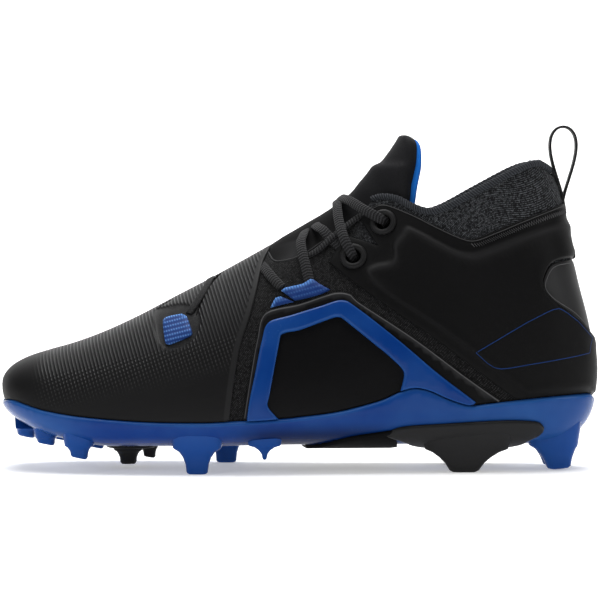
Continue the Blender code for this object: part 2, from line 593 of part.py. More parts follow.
# Colours as the photograph shows them, linear
BLUE = ((0.010, 0.046, 0.190), 0.32)
WEBBING_BLUE = ((0.014, 0.080, 0.330), 0.6)
BLACK_GLOSS = ((0.012, 0.012, 0.013), 0.4)
BLACK_MATTE = ((0.010, 0.010, 0.010), 0.55)
BLACK_FABRIC = ((0.014, 0.014, 0.016), 0.85)
RIBBED_BLACK = ((0.022, 0.022, 0.023), 0.5)
LACE_GREY = ((0.018, 0.018, 0.020), 0.8)
STUD_BLACK = ((0.014, 0.014, 0.015), 0.45)
HEEL_GREY = ((0.030, 0.030, 0.031), 0.5)

# Levels off the form
ON_UPPER = FIT_GAP
INSIDE_UPPER = -(UPPER_WALL + FIT_GAP)
PANEL_TOP = ON_UPPER + PANEL_THICKNESS
QUARTER_BORDER = ON_UPPER + FLANGE_THICKNESS
PLATE_OUTSIDE = FIT_GAP + PLATE_FLOOR
CORE_INSIDE = PLATE_OUTSIDE + FIT_GAP
CORE_OUTSIDE = CORE_INSIDE + CORE_THICKNESS
TONGUE_TUCK = INSIDE_UPPER - 0.0005
EDGE_CLEARANCE = 0.0007      # between the plate's top edge and what stands on it


def plate_edge(medial=False, clearance=0.0):
    """The plate's top edge on one side, or a line that stays clear above it."""
    path = lay(PLATE_EDGE_MEDIAL if medial else PLATE_EDGE_LATERAL, medial=medial)
    path[:, 1] += clearance / ROUND_LENGTH * (1 if medial else -1)
    return path


def underside_round(u, share):
    """Round at which the underside reaches a share of the half-width from its middle."""
    rows = smooth_rows(LAST_ROWS, u)
    half = rows[..., 5] * BALL_WIDTH
    points = on_form(u[:, None], np.linspace(0, 1, 41)[None, :])
    girth = np.linalg.norm(np.diff(points, axis=1), axis=2).sum(axis=1)
    return 1 - share * half / girth


def underside_band(first, last, share, step=0.6):
    """A closed path round the middle of the sole, between two rows."""
    count = max(4, round((last - first) / step))
    rows = np.linspace(first, last, count + 1)
    edge = np.column_stack([rows, underside_round(rows, share)])
    return np.vstack([edge, across_sole(edge)[::-1]])


def build_upper():
    """The hollow shell: open at the collar, the throat and underneath."""
    toe_open, heel_open = 4.0, 17.6
    lowered = -(COLLAR_ROLL + 1.5 * FIT_GAP)
    rim = lay(COLLAR_RIM, raised=lowered, length=0.008)
    throat = lay(THROAT_EDGE)[:-1]
    throat = throat[throat[:, 0] < rim[0][0] - 0.15]
    rows = np.linspace(toe_open + 0.6, heel_open - 0.5, 22)
    opening = np.column_stack([rows, underside_round(rows, 0.76)])
    back = rim[-1][0]
    half = np.vstack([
        [[0, 1]], seam_run(0, toe_open, 1), [[toe_open, 1]],
        opening, [[heel_open, 1]], seam_run(heel_open, back, 1), [[back, 1]],
        rim[::-1], throat[::-1],
    ])
    other = across_ridge(half)[::-1]
    tip_row = np.array([[throat[0][0] - 0.12, 0]])
    ends = np.array([[0, w] for w in (-0.66, -0.33, 0, 0.33, 0.66)])
    outer = np.vstack([half, tip_row, other, ends])
    holes = [circle(*place, EYELET_HOLE, 10) for _, _, place in eyelet_places()]
    return sheet("upper", BLACK_FABRIC, 0.0, -UPPER_WALL, outer, holes)


def eyelet_places():
    """Name, side and place of each eyelet."""
    places = []
    for name, along, up in EYELETS:
        place = nearest_on_form([side_view(along, up)], [0, 2], 0, 1)[0]
        places.append((name, "lateral", place))
        places.append((name, "medial", across_ridge(place)))
    return places


def build_vamp_skin():
    """The ribbed skin over the toe and forefoot."""
    free = lay(VAMP_EDGE)
    edge = plate_edge(clearance=EDGE_CLEARANCE)
    edge = edge[edge[:, 0] < free[-1][0] - 0.2]
    toe_low = edge[0][0]
    half = np.vstack([[[0, 1]], seam_run(0, toe_low, 1), [[toe_low, 1]], edge[1:], free[:0:-1]])
    ends = np.array([[0, w] for w in (-0.66, -0.33, 0, 0.33, 0.66)])
    outer = np.vstack([half, [[free[0][0], 0]], across_ridge(half)[::-1], ends])
    return sheet("vamp_skin", RIBBED_BLACK, ON_UPPER + SKIN_THICKNESS, ON_UPPER, outer)


def quarter_loop(top, front):
    """A closed path round the heel, from a top and a front outline of one side."""
    top_path, front_path = lay(top), lay(front)
    floor = plate_edge(clearance=EDGE_CLEARANCE)
    floor = floor[floor[:, 0] > front_path[0][0] + 0.25]
    half = np.vstack([
        floor[::-1], front_path[:-1], top_path, [[top_path[-1][0], 1 - 0.0001]],
    ])
    half = half[half[:, 1] < 1 - 1e-3]
    ends_low, ends_high = [[floor[-1][0] + 0.08, 1]], [[top_path[-1][0], 1]]
    return np.vstack([ends_low, half, ends_high, across_sole(half)[::-1]])


def heel_panel_loop():
    """The heel panel's closed path across the back."""
    half = lay(HEEL_PANEL)
    half = half[half[:, 1] < 0.985]
    return np.vstack([[[half[0][0], 1]], half, [[half[-1][0], 1]], across_sole(half)[::-1]])


def build_quarter():
    """The moulded shell round the heel with a thin border and a raised body."""
    outer = quarter_loop(QUARTER_TOP, QUARTER_FRONT)
    body = quarter_loop(BODY_TOP, BODY_FRONT)
    body_flat = shrink(flat(body), 0.0004)
    crest_flat = shrink(body_flat, BODY_STEP)
    panel = heel_panel_loop()
    panel_flat = flat(panel)
    grown = shrink(panel_flat, -FIT_GAP * 2)

    def top(u, w):
        points = flat(np.column_stack([u, w]))
        depth = np.where(inside(points, body_flat), away_from(points, body_flat), 0)
        share = np.clip(depth / BODY_STEP, 0, 1)
        return QUARTER_BORDER + (BODY_THICKNESS - FLANGE_THICKNESS) * share

    holes = [unflat(grown)]
    for _, side, place in eyelet_places():
        place = place if side == "lateral" else place + np.array([0, 2])
        holes.append(circle(*place, EYELET_HOLE, 10))
    lines = [unflat(body_flat), unflat(crest_flat)]
    made = sheet("quarter_shell", BLACK_MATTE, top, ON_UPPER, outer, holes, lines)
    sheet("heel_panel", HEEL_GREY, ON_UPPER + HEEL_PANEL_THICKNESS, ON_UPPER, panel)
    return made


def build_midfoot():
    """The fabric panel on each side of the midfoot, and the glossy cage."""
    floor = plate_edge(clearance=EDGE_CLEARANCE)
    path = lay(MIDFOOT_PANEL)
    floor = floor[(floor[:, 0] > path[0][0] + 0.2) & (floor[:, 0] < path[-1][0] - 0.2)]
    lateral = np.vstack([path, floor[::-1]])
    sheet("midfoot_panel_lateral", BLACK_FABRIC, PANEL_TOP, ON_UPPER, lateral)
    floor = across_sole(plate_edge(medial=True, clearance=EDGE_CLEARANCE))
    floor = floor[(floor[:, 0] > path[0][0] + 0.2) & (floor[:, 0] < path[-1][0] - 0.2)]
    medial = across_sole(np.vstack([path, floor[::-1]]))
    sheet("midfoot_panel_medial", BLACK_FABRIC, PANEL_TOP, ON_UPPER, medial)
    over_panel = PANEL_TOP + FIT_GAP
    sheet("cage_frame", BLUE, over_panel + CAGE_THICKNESS, over_panel, lay(CAGE, closed=True))


def build_tongue():
    """The padded tongue, swollen between the throat's edges, and its lining."""
    edge = lay(TONGUE_EDGE)
    toe_end, top_end = edge[0][0] - 0.1, edge[-1][0]

    def top(u, w):
        between = np.clip(1 - np.abs(w) / 0.085, 0, 1)
        clear = np.clip((u - 11.8) / 1.0, 0, 1)
        share = between * between * (3 - 2 * between) * clear * clear * (3 - 2 * clear)
        return TONGUE_TUCK * (1 - share) - FIT_GAP * share

    outer = np.vstack([[[toe_end, 0]], edge, [[top_end + 0.1, 0]], across_ridge(edge)[::-1]])
    under = TONGUE_TUCK - TONGUE_THICKNESS
    sheet("tongue", BLACK_FABRIC, top, under, outer)
    start = nearest_on_form([side_view(*LINING_FOOT)], [0, 2], 0, 1)[0][0]
    upper_edge = edge[edge[:, 0] > start]
    lining = np.vstack([[[start - 0.3, 0]], upper_edge, [[top_end + 0.1, 0]], across_ridge(upper_edge)[::-1]])
    sheet("tongue_lining", WEBBING_BLUE, under - FIT_GAP, under - FIT_GAP - LINING_THICKNESS, lining)


def swept(name, finish, centres, normals, shape, closed=False):
    """A bar of one section along a path; the section is across and off the surface."""
    centres, normals = np.asarray(centres), np.asarray(normals)
    if closed:
        tangents = np.roll(centres, -1, axis=0) - np.roll(centres, 1, axis=0)
    else:
        tangents = np.gradient(centres, axis=0)
    tangents /= np.linalg.norm(tangents, axis=1, keepdims=True)
    sideways = np.cross(tangents, normals)
    sideways /= np.linalg.norm(sideways, axis=1, keepdims=True)
    normals = np.cross(sideways, tangents)
    rings = [centre + across * side + off * normal
             for centre, side, normal in zip(centres, sideways, normals) for across, off in shape]
    count, corners = len(centres), len(shape)
    faces = []
    for k in range(count if closed else count - 1):
        for m in range(corners):
            n, after = (m + 1) % corners, (k + 1) % count
            faces.append((k * corners + m, k * corners + n, after * corners + n, after * corners + m))
    if not closed:
        faces += [tuple(reversed(range(corners))), tuple((count - 1) * corners + m for m in range(corners))]
    verts = np.array(rings)
    return solid(name, verts, turned_out(verts, faces), finish)


def round_section(radius, corners):
    """A round section's corners."""
    return [(radius * math.cos(k * 2 * math.pi / corners), radius * math.sin(k * 2 * math.pi / corners))
            for k in range(corners)]


def flat_section(width, thickness):
    """A flat section's corners."""
    return [(-width / 2, -thickness / 2), (width / 2, -thickness / 2),
            (width / 2, thickness / 2), (-width / 2, thickness / 2)]


def even_path(path, step):
    """A smooth path through rows and rounds, read at even steps along the form."""
    at = np.linspace(0, len(path) - 1, 12 * len(path))
    return spaced(smooth_rows(np.asarray(path, float), at), step)


def build_collar_binding():
    """The knitted roll round the collar's edge."""
    rim = lay(COLLAR_RIM, raised=-COLLAR_ROLL / 2, length=0.005)[1:]
    rim = rim[rim[:, 1] < 0.97]
    path = np.vstack([rim, [[rim[-1][0], 1]], across_sole(rim)[::-1]])
    path = even_path(path, 0.009)
    offset = 0.0004 - UPPER_WALL / 2
    centres = on_form(path[:, 0], path[:, 1], np.full(len(path), offset))
    normals = read_form(NORMALS, path[:, 0], path[:, 1])
    return swept("collar_binding", BLACK_FABRIC, centres, normals, round_section(COLLAR_ROLL / 2, 7))


def build_eyelets():
    """A raised ring round each lace hole."""
    base = QUARTER_BORDER + FIT_GAP
    wall = EYELET_RADIUS - EYELET_HOLE
    profile = (
        (EYELET_HOLE, base), (EYELET_RADIUS, base),
        (EYELET_RADIUS - 0.3 * wall, base + EYELET_HEIGHT), (EYELET_HOLE + 0.3 * wall, base + EYELET_HEIGHT),
    )
    steps = 12
    for name, side, place in eyelet_places():
        rings = []
        for radius, off in profile:
            path = circle(*place, radius, steps)
            rings.append(on_form(path[:, 0], path[:, 1], np.full(steps, off)))
        verts = np.vstack(rings)
        faces = [(m * steps + k, m * steps + (k + 1) % steps,
                  (m + 1) % 4 * steps + (k + 1) % steps, (m + 1) % 4 * steps + k)
                 for m in range(4) for k in range(steps)]
        solid("eyelet_%s_%s" % (name, side), verts, turned_out(verts, faces), BLACK_GLOSS)


def build_lace_loops():
    """Webbing loops that hold the laces, at the forefoot and beside the cage."""
    levels = {
        "forefoot": (FOREFOOT_LOOP, ON_UPPER + SKIN_THICKNESS + FIT_GAP),
        "midfoot": (MIDFOOT_LOOP, ON_UPPER),
    }
    for name, (outline, level) in levels.items():
        path = lay(outline, closed=True, length=0.008)
        sheet("lace_loop_%s_lateral" % name, WEBBING_BLUE, level + WEBBING_THICKNESS, level, path)
        sheet("lace_loop_%s_medial" % name, WEBBING_BLUE, level + WEBBING_THICKNESS, level, across_ridge(path))


def lace_path(run):
    """A lace run as rows and rounds, with the medial side negative."""
    path = []
    for along, up, side in run:
        place = nearest_on_form([side_view(along, up)], [0, 2], 0, 1)[0]
        path.append((place[0], 0.0 if side == 0 else -side * place[1]))
    return even_path(path, 0.006)


def lace(name, run, low, high):
    """One flat lace over the throat, low over the ridge and high over the edges."""
    path = lace_path(run)
    share = np.clip((np.abs(path[:, 1]) - 0.06) / 0.07, 0, 1)
    offset = low + (high - low) * share * share * (3 - 2 * share)
    centres = on_form(path[:, 0], path[:, 1], offset)
    normals = read_form(NORMALS, path[:, 0], path[:, 1])
    return swept(name, LACE_GREY, centres, normals, flat_section(LACE_WIDTH, LACE_THICKNESS))


def build_laces():
    """Crossing laces, joined where they cross, and the forefoot lace."""
    def mirrored(run):
        return tuple((along, up, -side) for along, up, side in run)

    low = LACE_THICKNESS / 2 + 2 * FIT_GAP
    high = QUARTER_BORDER + LACE_THICKNESS / 2 + 2 * FIT_GAP
    over = LACE_THICKNESS * 0.5
    laces = lace("laces", TOP_LACE, low + over, high)
    joined(laces, lace("lace_top_crossing", mirrored(TOP_LACE), low, high))
    lower = lace("lace_low", LOW_LACE, low + over, high)
    joined(lower, lace("lace_low_crossing", mirrored(LOW_LACE), low, high))
    on_skin = ON_UPPER + SKIN_THICKNESS + FIT_GAP + LACE_THICKNESS / 2
    lace("forefoot_lace", FOREFOOT_LACE, on_skin, on_skin)


def build_pull_loop():
    """The webbing tab down the collar's back and the loop that stands on it."""
    rim_back = lay(COLLAR_RIM)[-1][0]
    shell_back = lay(QUARTER_TOP)[-1][0]
    side = 0.5 * PULL_LOOP_WIDTH / ROUND_LENGTH
    low_end, high_end = shell_back + 0.12, rim_back - 0.42
    rows = np.linspace(low_end, high_end, 5)
    edge = np.column_stack([rows, np.full(5, 1 - side)])
    outer = np.vstack([edge, across_sole(edge)[::-1]])
    tab_top = ON_UPPER + WEBBING_THICKNESS
    sheet("pull_tab", BLACK_FABRIC, tab_top, ON_UPPER, outer)
    back = on_form(np.linspace(low_end, rim_back, 20), np.ones(20), np.full(20, tab_top))
    # The loop is a teardrop in the side view, pinched where it is sewn down
    turns = np.linspace(0, 2 * math.pi, 25)[:-1]
    tall = PULL_LOOP_HEIGHT - WEBBING_THICKNESS
    height = tall * (1 - np.cos(turns)) / 2
    swell = np.sin(turns) * (0.48 + 0.52 * np.sin(np.clip(height / tall, 0, 1) * math.pi * 0.62) ** 2)
    x = PULL_LOOP_SPREAD / 2 * swell - 0.06 * height
    z = back[0][2] + height
    clear = np.interp(z, back[:, 2], back[:, 0]) + FIT_GAP + 0.6 * WEBBING_THICKNESS
    x += (clear - x)[z < back[-1][2]].max()
    centres = np.column_stack([x, np.full(len(turns), back[0][1]), z])
    tangents = np.roll(centres, -1, axis=0) - np.roll(centres, 1, axis=0)
    normals = np.cross(tangents, np.array([0, 1, 0]))
    normals /= np.linalg.norm(normals, axis=1, keepdims=True)
    swept("pull_loop", BLACK_FABRIC, centres, normals,
          flat_section(PULL_LOOP_WIDTH, WEBBING_THICKNESS), closed=True)


def build_insole():
    """The footbed inside the upper."""
    top = INSIDE_UPPER - INSOLE_THICKNESS
    sheet("insole", BLACK_FABRIC, INSIDE_UPPER, top, underside_band(3.6, 17.8, 0.83))


def plate_thickness(u, w):
    """The plate's outer level: thin up its wall, thick across its floor."""
    v = 1 - np.abs(w - 1)
    share = np.clip((v - underside_round(u, 1.25)) / 0.12, 0, 1)
    return FIT_GAP + PLATE_WALL + (PLATE_FLOOR - PLATE_WALL) * share


def underside(x, y, offset):
    """Points of the form's underside, seen from below, at an offset."""
    targets = np.column_stack([x, y])
    middle = (smooth_rows(LAST_ROWS, np.array([8.0]))[0][4] - ORIGIN_ACROSS) * BALL_WIDTH
    low, high = (1.0, 1.6) if y.mean() > middle else (0.4, 1.0)
    place = nearest_on_form(targets, [0, 1], low, high, below=True)
    return on_form(place[:, 0], place[:, 1], np.full(len(x), offset))


def stud(name, row, embed):
    """One stud: a chamfered blade that flares into the plate."""
    _, along, across, tip_long, tip_wide, root_long, root_wide, reach = row
    x0, y0 = (along - ORIGIN_ALONG) * SHOE_LENGTH, (across - ORIGIN_ACROSS) * BALL_WIDTH
    corner = 0.3
    outline = np.array([(1, corner), (corner, 1), (-corner, 1), (-1, corner),
                        (-1, -corner), (-corner, -1), (corner, -1), (1, -corner)]) / 2
    tip_size = np.array([tip_long * SHOE_LENGTH, tip_wide * BALL_WIDTH])
    root_size = np.array([root_long * SHOE_LENGTH, root_wide * BALL_WIDTH])
    centre = np.array([x0, y0])

    def ring(size, z):
        points = outline * size + centre
        return np.column_stack([points, np.full(8, z)])

    root = outline * root_size + centre
    root_points = underside(root[:, 0], root[:, 1], embed)
    neck = outline * root_size * 0.88 + centre
    neck_points = underside(neck[:, 0], neck[:, 1], embed + 0.0022)
    neck_z = neck_points[:, 2].min() - 0.0010
    full = max(STUD_LENGTH * 0.30, neck_z - STUD_LENGTH * 0.45)
    tip_z = full * (1 - reach) if reach > 0 else neck_z - 0.0012
    rings = [
        ring(tip_size * 0.82, tip_z), ring(tip_size, tip_z + 0.0012),
        ring(tip_size * 0.62 + root_size * 0.38, (tip_z + neck_z) / 2 + 0.0012),
        neck_points, root_points,
    ]
    verts = np.vstack(rings)
    faces = [tuple(range(8)), tuple(range(32, 40))]
    faces += [(m * 8 + k, m * 8 + (k + 1) % 8, (m + 1) * 8 + (k + 1) % 8, (m + 1) * 8 + k)
              for m in range(4) for k in range(8)]
    faces[0] = tuple(reversed(faces[0]))
    return solid(name, verts, turned_out(verts, faces), STUD_BLACK)


def build_outsole():
    """The plate: floor, upturned wall and studs in one moulding."""
    lateral, medial = plate_edge(), plate_edge(medial=True)
    toe, heel = lateral[0][0], lateral[-1][0]
    outer = np.vstack([[[toe - 0.08, 1]], lateral, [[heel + 0.03, 1]], medial[::-1]])
    plate = sheet("outsole", BLUE, plate_thickness, FIT_GAP, outer)
    for row in BLUE_STUDS:
        joined(plate, stud("stud_" + row[0], row, FIT_GAP + 0.7 * PLATE_FLOOR))


def build_dark_mouldings():
    """The keel under the arch, the middle forefoot stud and the heel studs with wings."""
    embed = CORE_INSIDE + 0.8 * CORE_THICKNESS
    rows = np.linspace(12.2, 14.1, 5)
    half = np.column_stack([rows, underside_round(rows, np.linspace(0.92, 1.20, 5))])
    keel = np.vstack([half, across_sole(half)[::-1]])
    sheet("keel", STUD_BLACK, CORE_OUTSIDE, CORE_INSIDE, keel)
    pad = sheet("ball_core", STUD_BLACK, CORE_OUTSIDE, CORE_INSIDE, underside_band(7.0, 8.4, 0.30))
    joined(pad, stud("stud_ball_centre", BALL_CENTRE_STUD, embed - 0.3 * CORE_THICKNESS))
    rows = np.linspace(14.3, 17.5, 7)
    top = np.column_stack([rows, [0.775, 0.768, 0.768, 0.775, 0.785, 0.795, 0.822]])
    rows = np.linspace(14.6, 16.6, 6)
    low = np.column_stack([rows, underside_round(rows, 0.22)])
    wing = np.vstack([top, low[::-1]])
    for side, row in HEEL_STUDS.items():
        path = wing if side == "lateral" else across_sole(wing)
        made = sheet("heel_stud_" + side, STUD_BLACK, CORE_OUTSIDE, CORE_INSIDE, path)
        joined(made, stud("stud_heel_" + side, row, embed))


build_upper()
build_vamp_skin()
build_midfoot()
build_quarter()
build_tongue()
build_collar_binding()
build_eyelets()
build_lace_loops()
build_laces()
build_pull_loop()
build_insole()
build_outsole()
build_dark_mouldings()
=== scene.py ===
# %% [markdown]
# # A mid-cut american football cleat, left foot
# The real shoe is lasted: knit cloth, moulded skins and a plate are all pulled or
# glued over one foot-shaped last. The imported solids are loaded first. They fix every
# size and place, and the pieces below are then made over the same last, finer.

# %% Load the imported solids
import json
import math

import bpy
import numpy as np
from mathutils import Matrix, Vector
from mathutils.geometry import delaunay_2d_cdt
from mathutils.kdtree import KDTree

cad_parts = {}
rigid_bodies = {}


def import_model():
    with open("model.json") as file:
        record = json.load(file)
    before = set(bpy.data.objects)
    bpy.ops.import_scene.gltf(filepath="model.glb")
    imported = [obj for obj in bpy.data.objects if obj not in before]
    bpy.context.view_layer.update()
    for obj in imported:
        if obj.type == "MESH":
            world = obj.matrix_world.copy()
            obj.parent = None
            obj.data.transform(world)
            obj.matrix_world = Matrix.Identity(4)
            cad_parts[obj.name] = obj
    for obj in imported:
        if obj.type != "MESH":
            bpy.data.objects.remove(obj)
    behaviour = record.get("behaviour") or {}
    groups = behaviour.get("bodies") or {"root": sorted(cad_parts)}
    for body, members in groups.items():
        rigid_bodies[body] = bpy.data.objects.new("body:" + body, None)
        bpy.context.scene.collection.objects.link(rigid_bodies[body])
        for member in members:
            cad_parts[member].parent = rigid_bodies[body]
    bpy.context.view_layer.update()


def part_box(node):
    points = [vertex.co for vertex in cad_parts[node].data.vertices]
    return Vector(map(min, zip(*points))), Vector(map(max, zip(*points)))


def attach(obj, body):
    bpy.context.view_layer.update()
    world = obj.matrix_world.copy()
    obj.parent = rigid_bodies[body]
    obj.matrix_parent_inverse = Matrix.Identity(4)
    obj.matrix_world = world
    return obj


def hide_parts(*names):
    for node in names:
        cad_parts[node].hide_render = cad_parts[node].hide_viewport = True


for leftover in list(bpy.data.objects):
    bpy.data.objects.remove(leftover, do_unlink=True)

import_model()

# %% [markdown]
# ## The last
# A shoemaker's last has no simple formula, so it is kept as a table of sections, as
# shares of the length and the ball width. A smooth curve runs through the rows. Every
# place on the shoe is then a row number from toe to ankle and a round from 0 on the
# ridge to 1 under the sole, and a level off the last in metres.

# %% Sizes
SHOE_LENGTH = 0.299
BALL_WIDTH = 0.0985
INSTEP_HEIGHT = 0.124
HEEL_HEIGHT = 0.1385
STUD_LENGTH = 0.012
PLATE_FLOOR = 0.0027
PLATE_WALL = 0.0022
CORE_THICKNESS = 0.0018
UPPER_WALL = 0.0022
SKIN_THICKNESS = 0.0009
PANEL_THICKNESS = 0.0008
CAGE_THICKNESS = 0.0022
FLANGE_THICKNESS = 0.0011
BODY_THICKNESS = 0.0022
BODY_STEP = 0.0022
HEEL_PANEL_THICKNESS = 0.0010
TONGUE_THICKNESS = 0.0045
LINING_THICKNESS = 0.0014
INSOLE_THICKNESS = 0.0038
COLLAR_ROLL = 0.0034
WEBBING_THICKNESS = 0.0013
FIT_GAP = 0.0003
BED_HEIGHT = STUD_LENGTH + PLATE_FLOOR + FIT_GAP
ORIGIN_ALONG = 0.4976
ORIGIN_ACROSS = -0.0158
MM = 0.001

# top along, top up, low along, low up, centre, lateral, medial, widest, top round, low round
LAST = np.array((
    (0.003, 0.214, 0.003, 0.206, 0.091, 0.000, 0.000, 0.50, 2.20, 2.4),
    (0.005, 0.242, 0.006, 0.177, 0.091, 0.112, 0.112, 0.50, 2.20, 2.4),
    (0.012, 0.268, 0.012, 0.141, 0.091, 0.193, 0.188, 0.47, 2.20, 2.6),
    (0.025, 0.294, 0.025, 0.109, 0.086, 0.264, 0.249, 0.43, 2.20, 2.8),
    (0.048, 0.321, 0.048, 0.077, 0.081, 0.335, 0.299, 0.38, 2.20, 3.0),
    (0.082, 0.347, 0.080, 0.044, 0.071, 0.396, 0.345, 0.34, 2.20, 3.2),
    (0.125, 0.377, 0.125, 0.020, 0.061, 0.442, 0.381, 0.31, 2.15, 3.4),
    (0.176, 0.423, 0.176, 0.000, 0.046, 0.472, 0.411, 0.29, 2.10, 3.4),
    (0.234, 0.488, 0.234, 0.000, 0.030, 0.492, 0.437, 0.27, 2.00, 3.4),
    (0.293, 0.563, 0.293, 0.000, 0.015, 0.503, 0.442, 0.26, 1.90, 3.4),
    (0.355, 0.641, 0.355, 0.000, 0.005, 0.503, 0.426, 0.25, 1.85, 3.4),
    (0.416, 0.722, 0.416, 0.002, 0.000, 0.487, 0.401, 0.24, 1.80, 3.4),
    (0.473, 0.800, 0.483, 0.004, 0.000, 0.467, 0.381, 0.24, 1.80, 3.4),
    (0.517, 0.863, 0.554, 0.004, 0.000, 0.442, 0.365, 0.25, 1.80, 3.4),
    (0.548, 0.907, 0.627, 0.004, 0.000, 0.416, 0.355, 0.27, 1.85, 3.4),
    (0.574, 0.948, 0.704, 0.004, 0.000, 0.396, 0.350, 0.30, 1.90, 3.4),
    (0.592, 0.984, 0.784, 0.004, 0.000, 0.381, 0.350, 0.33, 1.95, 3.4),
    (0.605, 1.020, 0.865, 0.004, 0.000, 0.371, 0.355, 0.36, 2.00, 3.2),
    (0.617, 1.055, 0.935, 0.014, 0.000, 0.365, 0.355, 0.40, 2.00, 2.8),
    (0.627, 1.090, 0.970, 0.072, 0.000, 0.360, 0.355, 0.44, 2.00, 2.5),
    (0.636, 1.124, 0.985, 0.159, 0.000, 0.355, 0.350, 0.47, 2.00, 2.4),
    (0.645, 1.157, 0.989, 0.274, 0.000, 0.350, 0.345, 0.49, 2.00, 2.3),
    (0.653, 1.190, 0.978, 0.419, 0.000, 0.345, 0.340, 0.50, 2.00, 2.2),
    (0.662, 1.222, 0.960, 0.570, 0.000, 0.340, 0.335, 0.50, 2.00, 2.2),
    (0.672, 1.253, 0.946, 0.715, 0.000, 0.335, 0.330, 0.50, 2.00, 2.2),
    (0.682, 1.283, 0.935, 0.870, 0.000, 0.330, 0.325, 0.50, 2.00, 2.2),
    (0.694, 1.311, 0.913, 0.993, 0.000, 0.325, 0.320, 0.50, 2.00, 2.2),
    (0.706, 1.335, 0.895, 1.112, 0.000, 0.320, 0.315, 0.50, 2.00, 2.2),
))
ROW_COUNT = len(LAST) - 1
ROWS_BETWEEN, STEPS_ROUND = 14, 140


# %% Read the table smoothly
TURN = 2 * math.pi


def unit(vectors):
    """The same vectors, each of length 1."""
    return vectors / np.linalg.norm(vectors, axis=-1, keepdims=True)


def run_along(points):
    """How far each point of a path is from its start, along it."""
    return np.concatenate([[0], np.cumsum(np.linalg.norm(np.diff(points, axis=0), axis=1))])


def read_at(table, run, at):
    """The columns of a table, read at other distances along its path."""
    return np.column_stack([np.interp(at, run, column) for column in table.T])


def eased(share):
    """A share kept from 0 to 1, with a soft start and end."""
    t = np.clip(share, 0, 1)
    return t * t * (3 - 2 * t)


def smooth_rows(table, at):
    """Reads a table at fractional rows along a Catmull-Rom curve."""
    at = np.asarray(at, float)
    last = len(table) - 1
    row = np.clip(np.floor(at).astype(int), 0, last - 1)
    t = (at - row)[..., None]
    before, start = table[np.maximum(row - 1, 0)], table[row]
    end, after = table[row + 1], table[np.minimum(row + 2, last)]
    bend = 2 * before - 5 * start + 4 * end - after
    return start + 0.5 * t * (end - before + t * (bend + t * (3 * (start - end) + after - before)))


def rise(along):
    """The height that an up share of 1 stands for."""
    t = np.clip((np.asarray(along, float) - 0.6) / 0.3, 0, 1)
    return INSTEP_HEIGHT + (HEEL_HEIGHT - INSTEP_HEIGHT) * t * t * (3 - 2 * t)


def side_view(along, up):
    """Side-view shares to metres, as x and z."""
    along, up = np.asarray(along, float), np.asarray(up, float)
    return np.stack([(along - ORIGIN_ALONG) * SHOE_LENGTH, BED_HEIGHT + up * rise(along)], axis=-1)


def section(row):
    """One closed section of the last, from its low point round."""
    top_along, top_up, low_along, low_up, centre, lateral, medial, widest, top_round, low_round = row
    top, low = side_view(top_along, top_up), side_view(low_along, low_up)
    angle = np.linspace(0, math.pi, 361)
    cosine, sine = np.abs(np.cos(angle)), np.abs(np.sin(angle))
    upper = angle <= math.pi / 2
    reach = sine ** (2 / np.where(upper, top_round, low_round))
    reach[-1] = 0
    up = np.where(upper, widest + (1 - widest) * cosine ** (2 / top_round),
                  widest - widest * cosine ** (2 / low_round))
    sides = []
    for half, sign in ((medial, 1), (lateral, -1)):
        plane = low + up[:, None] * (top - low)
        y = (centre - ORIGIN_ACROSS + sign * half * reach) * BALL_WIDTH
        points = np.column_stack([plane[:, 0], y, plane[:, 1]])
        run = run_along(points)
        sides.append(read_at(points, run, np.linspace(0, run[-1], STEPS_ROUND + 1)))
    return np.vstack([sides[0][:0:-1], sides[1]])


ROW_SAMPLES = np.linspace(0, ROW_COUNT, ROW_COUNT * ROWS_BETWEEN + 1)
FORM = np.array([section(smooth_rows(LAST, at)) for at in ROW_SAMPLES])


def form_normals():
    """Outward normals of the last at its samples."""
    along, across = np.gradient(FORM, axis=0), np.gradient(FORM, axis=1)
    across[:, 0] = across[:, -1] = (FORM[:, 1] - FORM[:, -2]) / 2
    normals = np.cross(across, along)
    normals[0] = (-1, 0, 0)
    normals = unit(normals)
    outward = FORM - FORM.mean(axis=1, keepdims=True)
    middle = len(FORM) // 2
    normals *= np.sign((normals[middle] * outward[middle]).sum())
    normals[0] = (-1, 0, 0)
    return normals


NORMALS = form_normals()
print("the last is", FORM.shape[0], "by", FORM.shape[1], "points")


# %% Places on the last
def read_form(samples, u, w):
    """Reads an array of the last at row u and round w, where w has period 2."""
    u = np.clip(np.asarray(u, float) * ROWS_BETWEEN, 0, ROW_COUNT * ROWS_BETWEEN - 1e-6)
    v = np.clip(((np.asarray(w, float) + 1) % 2) * STEPS_ROUND, 0, 2 * STEPS_ROUND - 1e-6)
    i, j = u.astype(int), v.astype(int)
    s, t = (u - i)[..., None], (v - j)[..., None]
    near = samples[i, j] * (1 - t) + samples[i, j + 1] * t
    far = samples[i + 1, j] * (1 - t) + samples[i + 1, j + 1] * t
    return near * (1 - s) + far * s


def off_form(u, w):
    """Unit normals of the last."""
    return unit(read_form(NORMALS, u, w))


def on_form(u, w, level=0.0):
    """Points at a level off the last."""
    return read_form(FORM, u, w) + off_form(u, w) * np.asarray(level)[..., None]


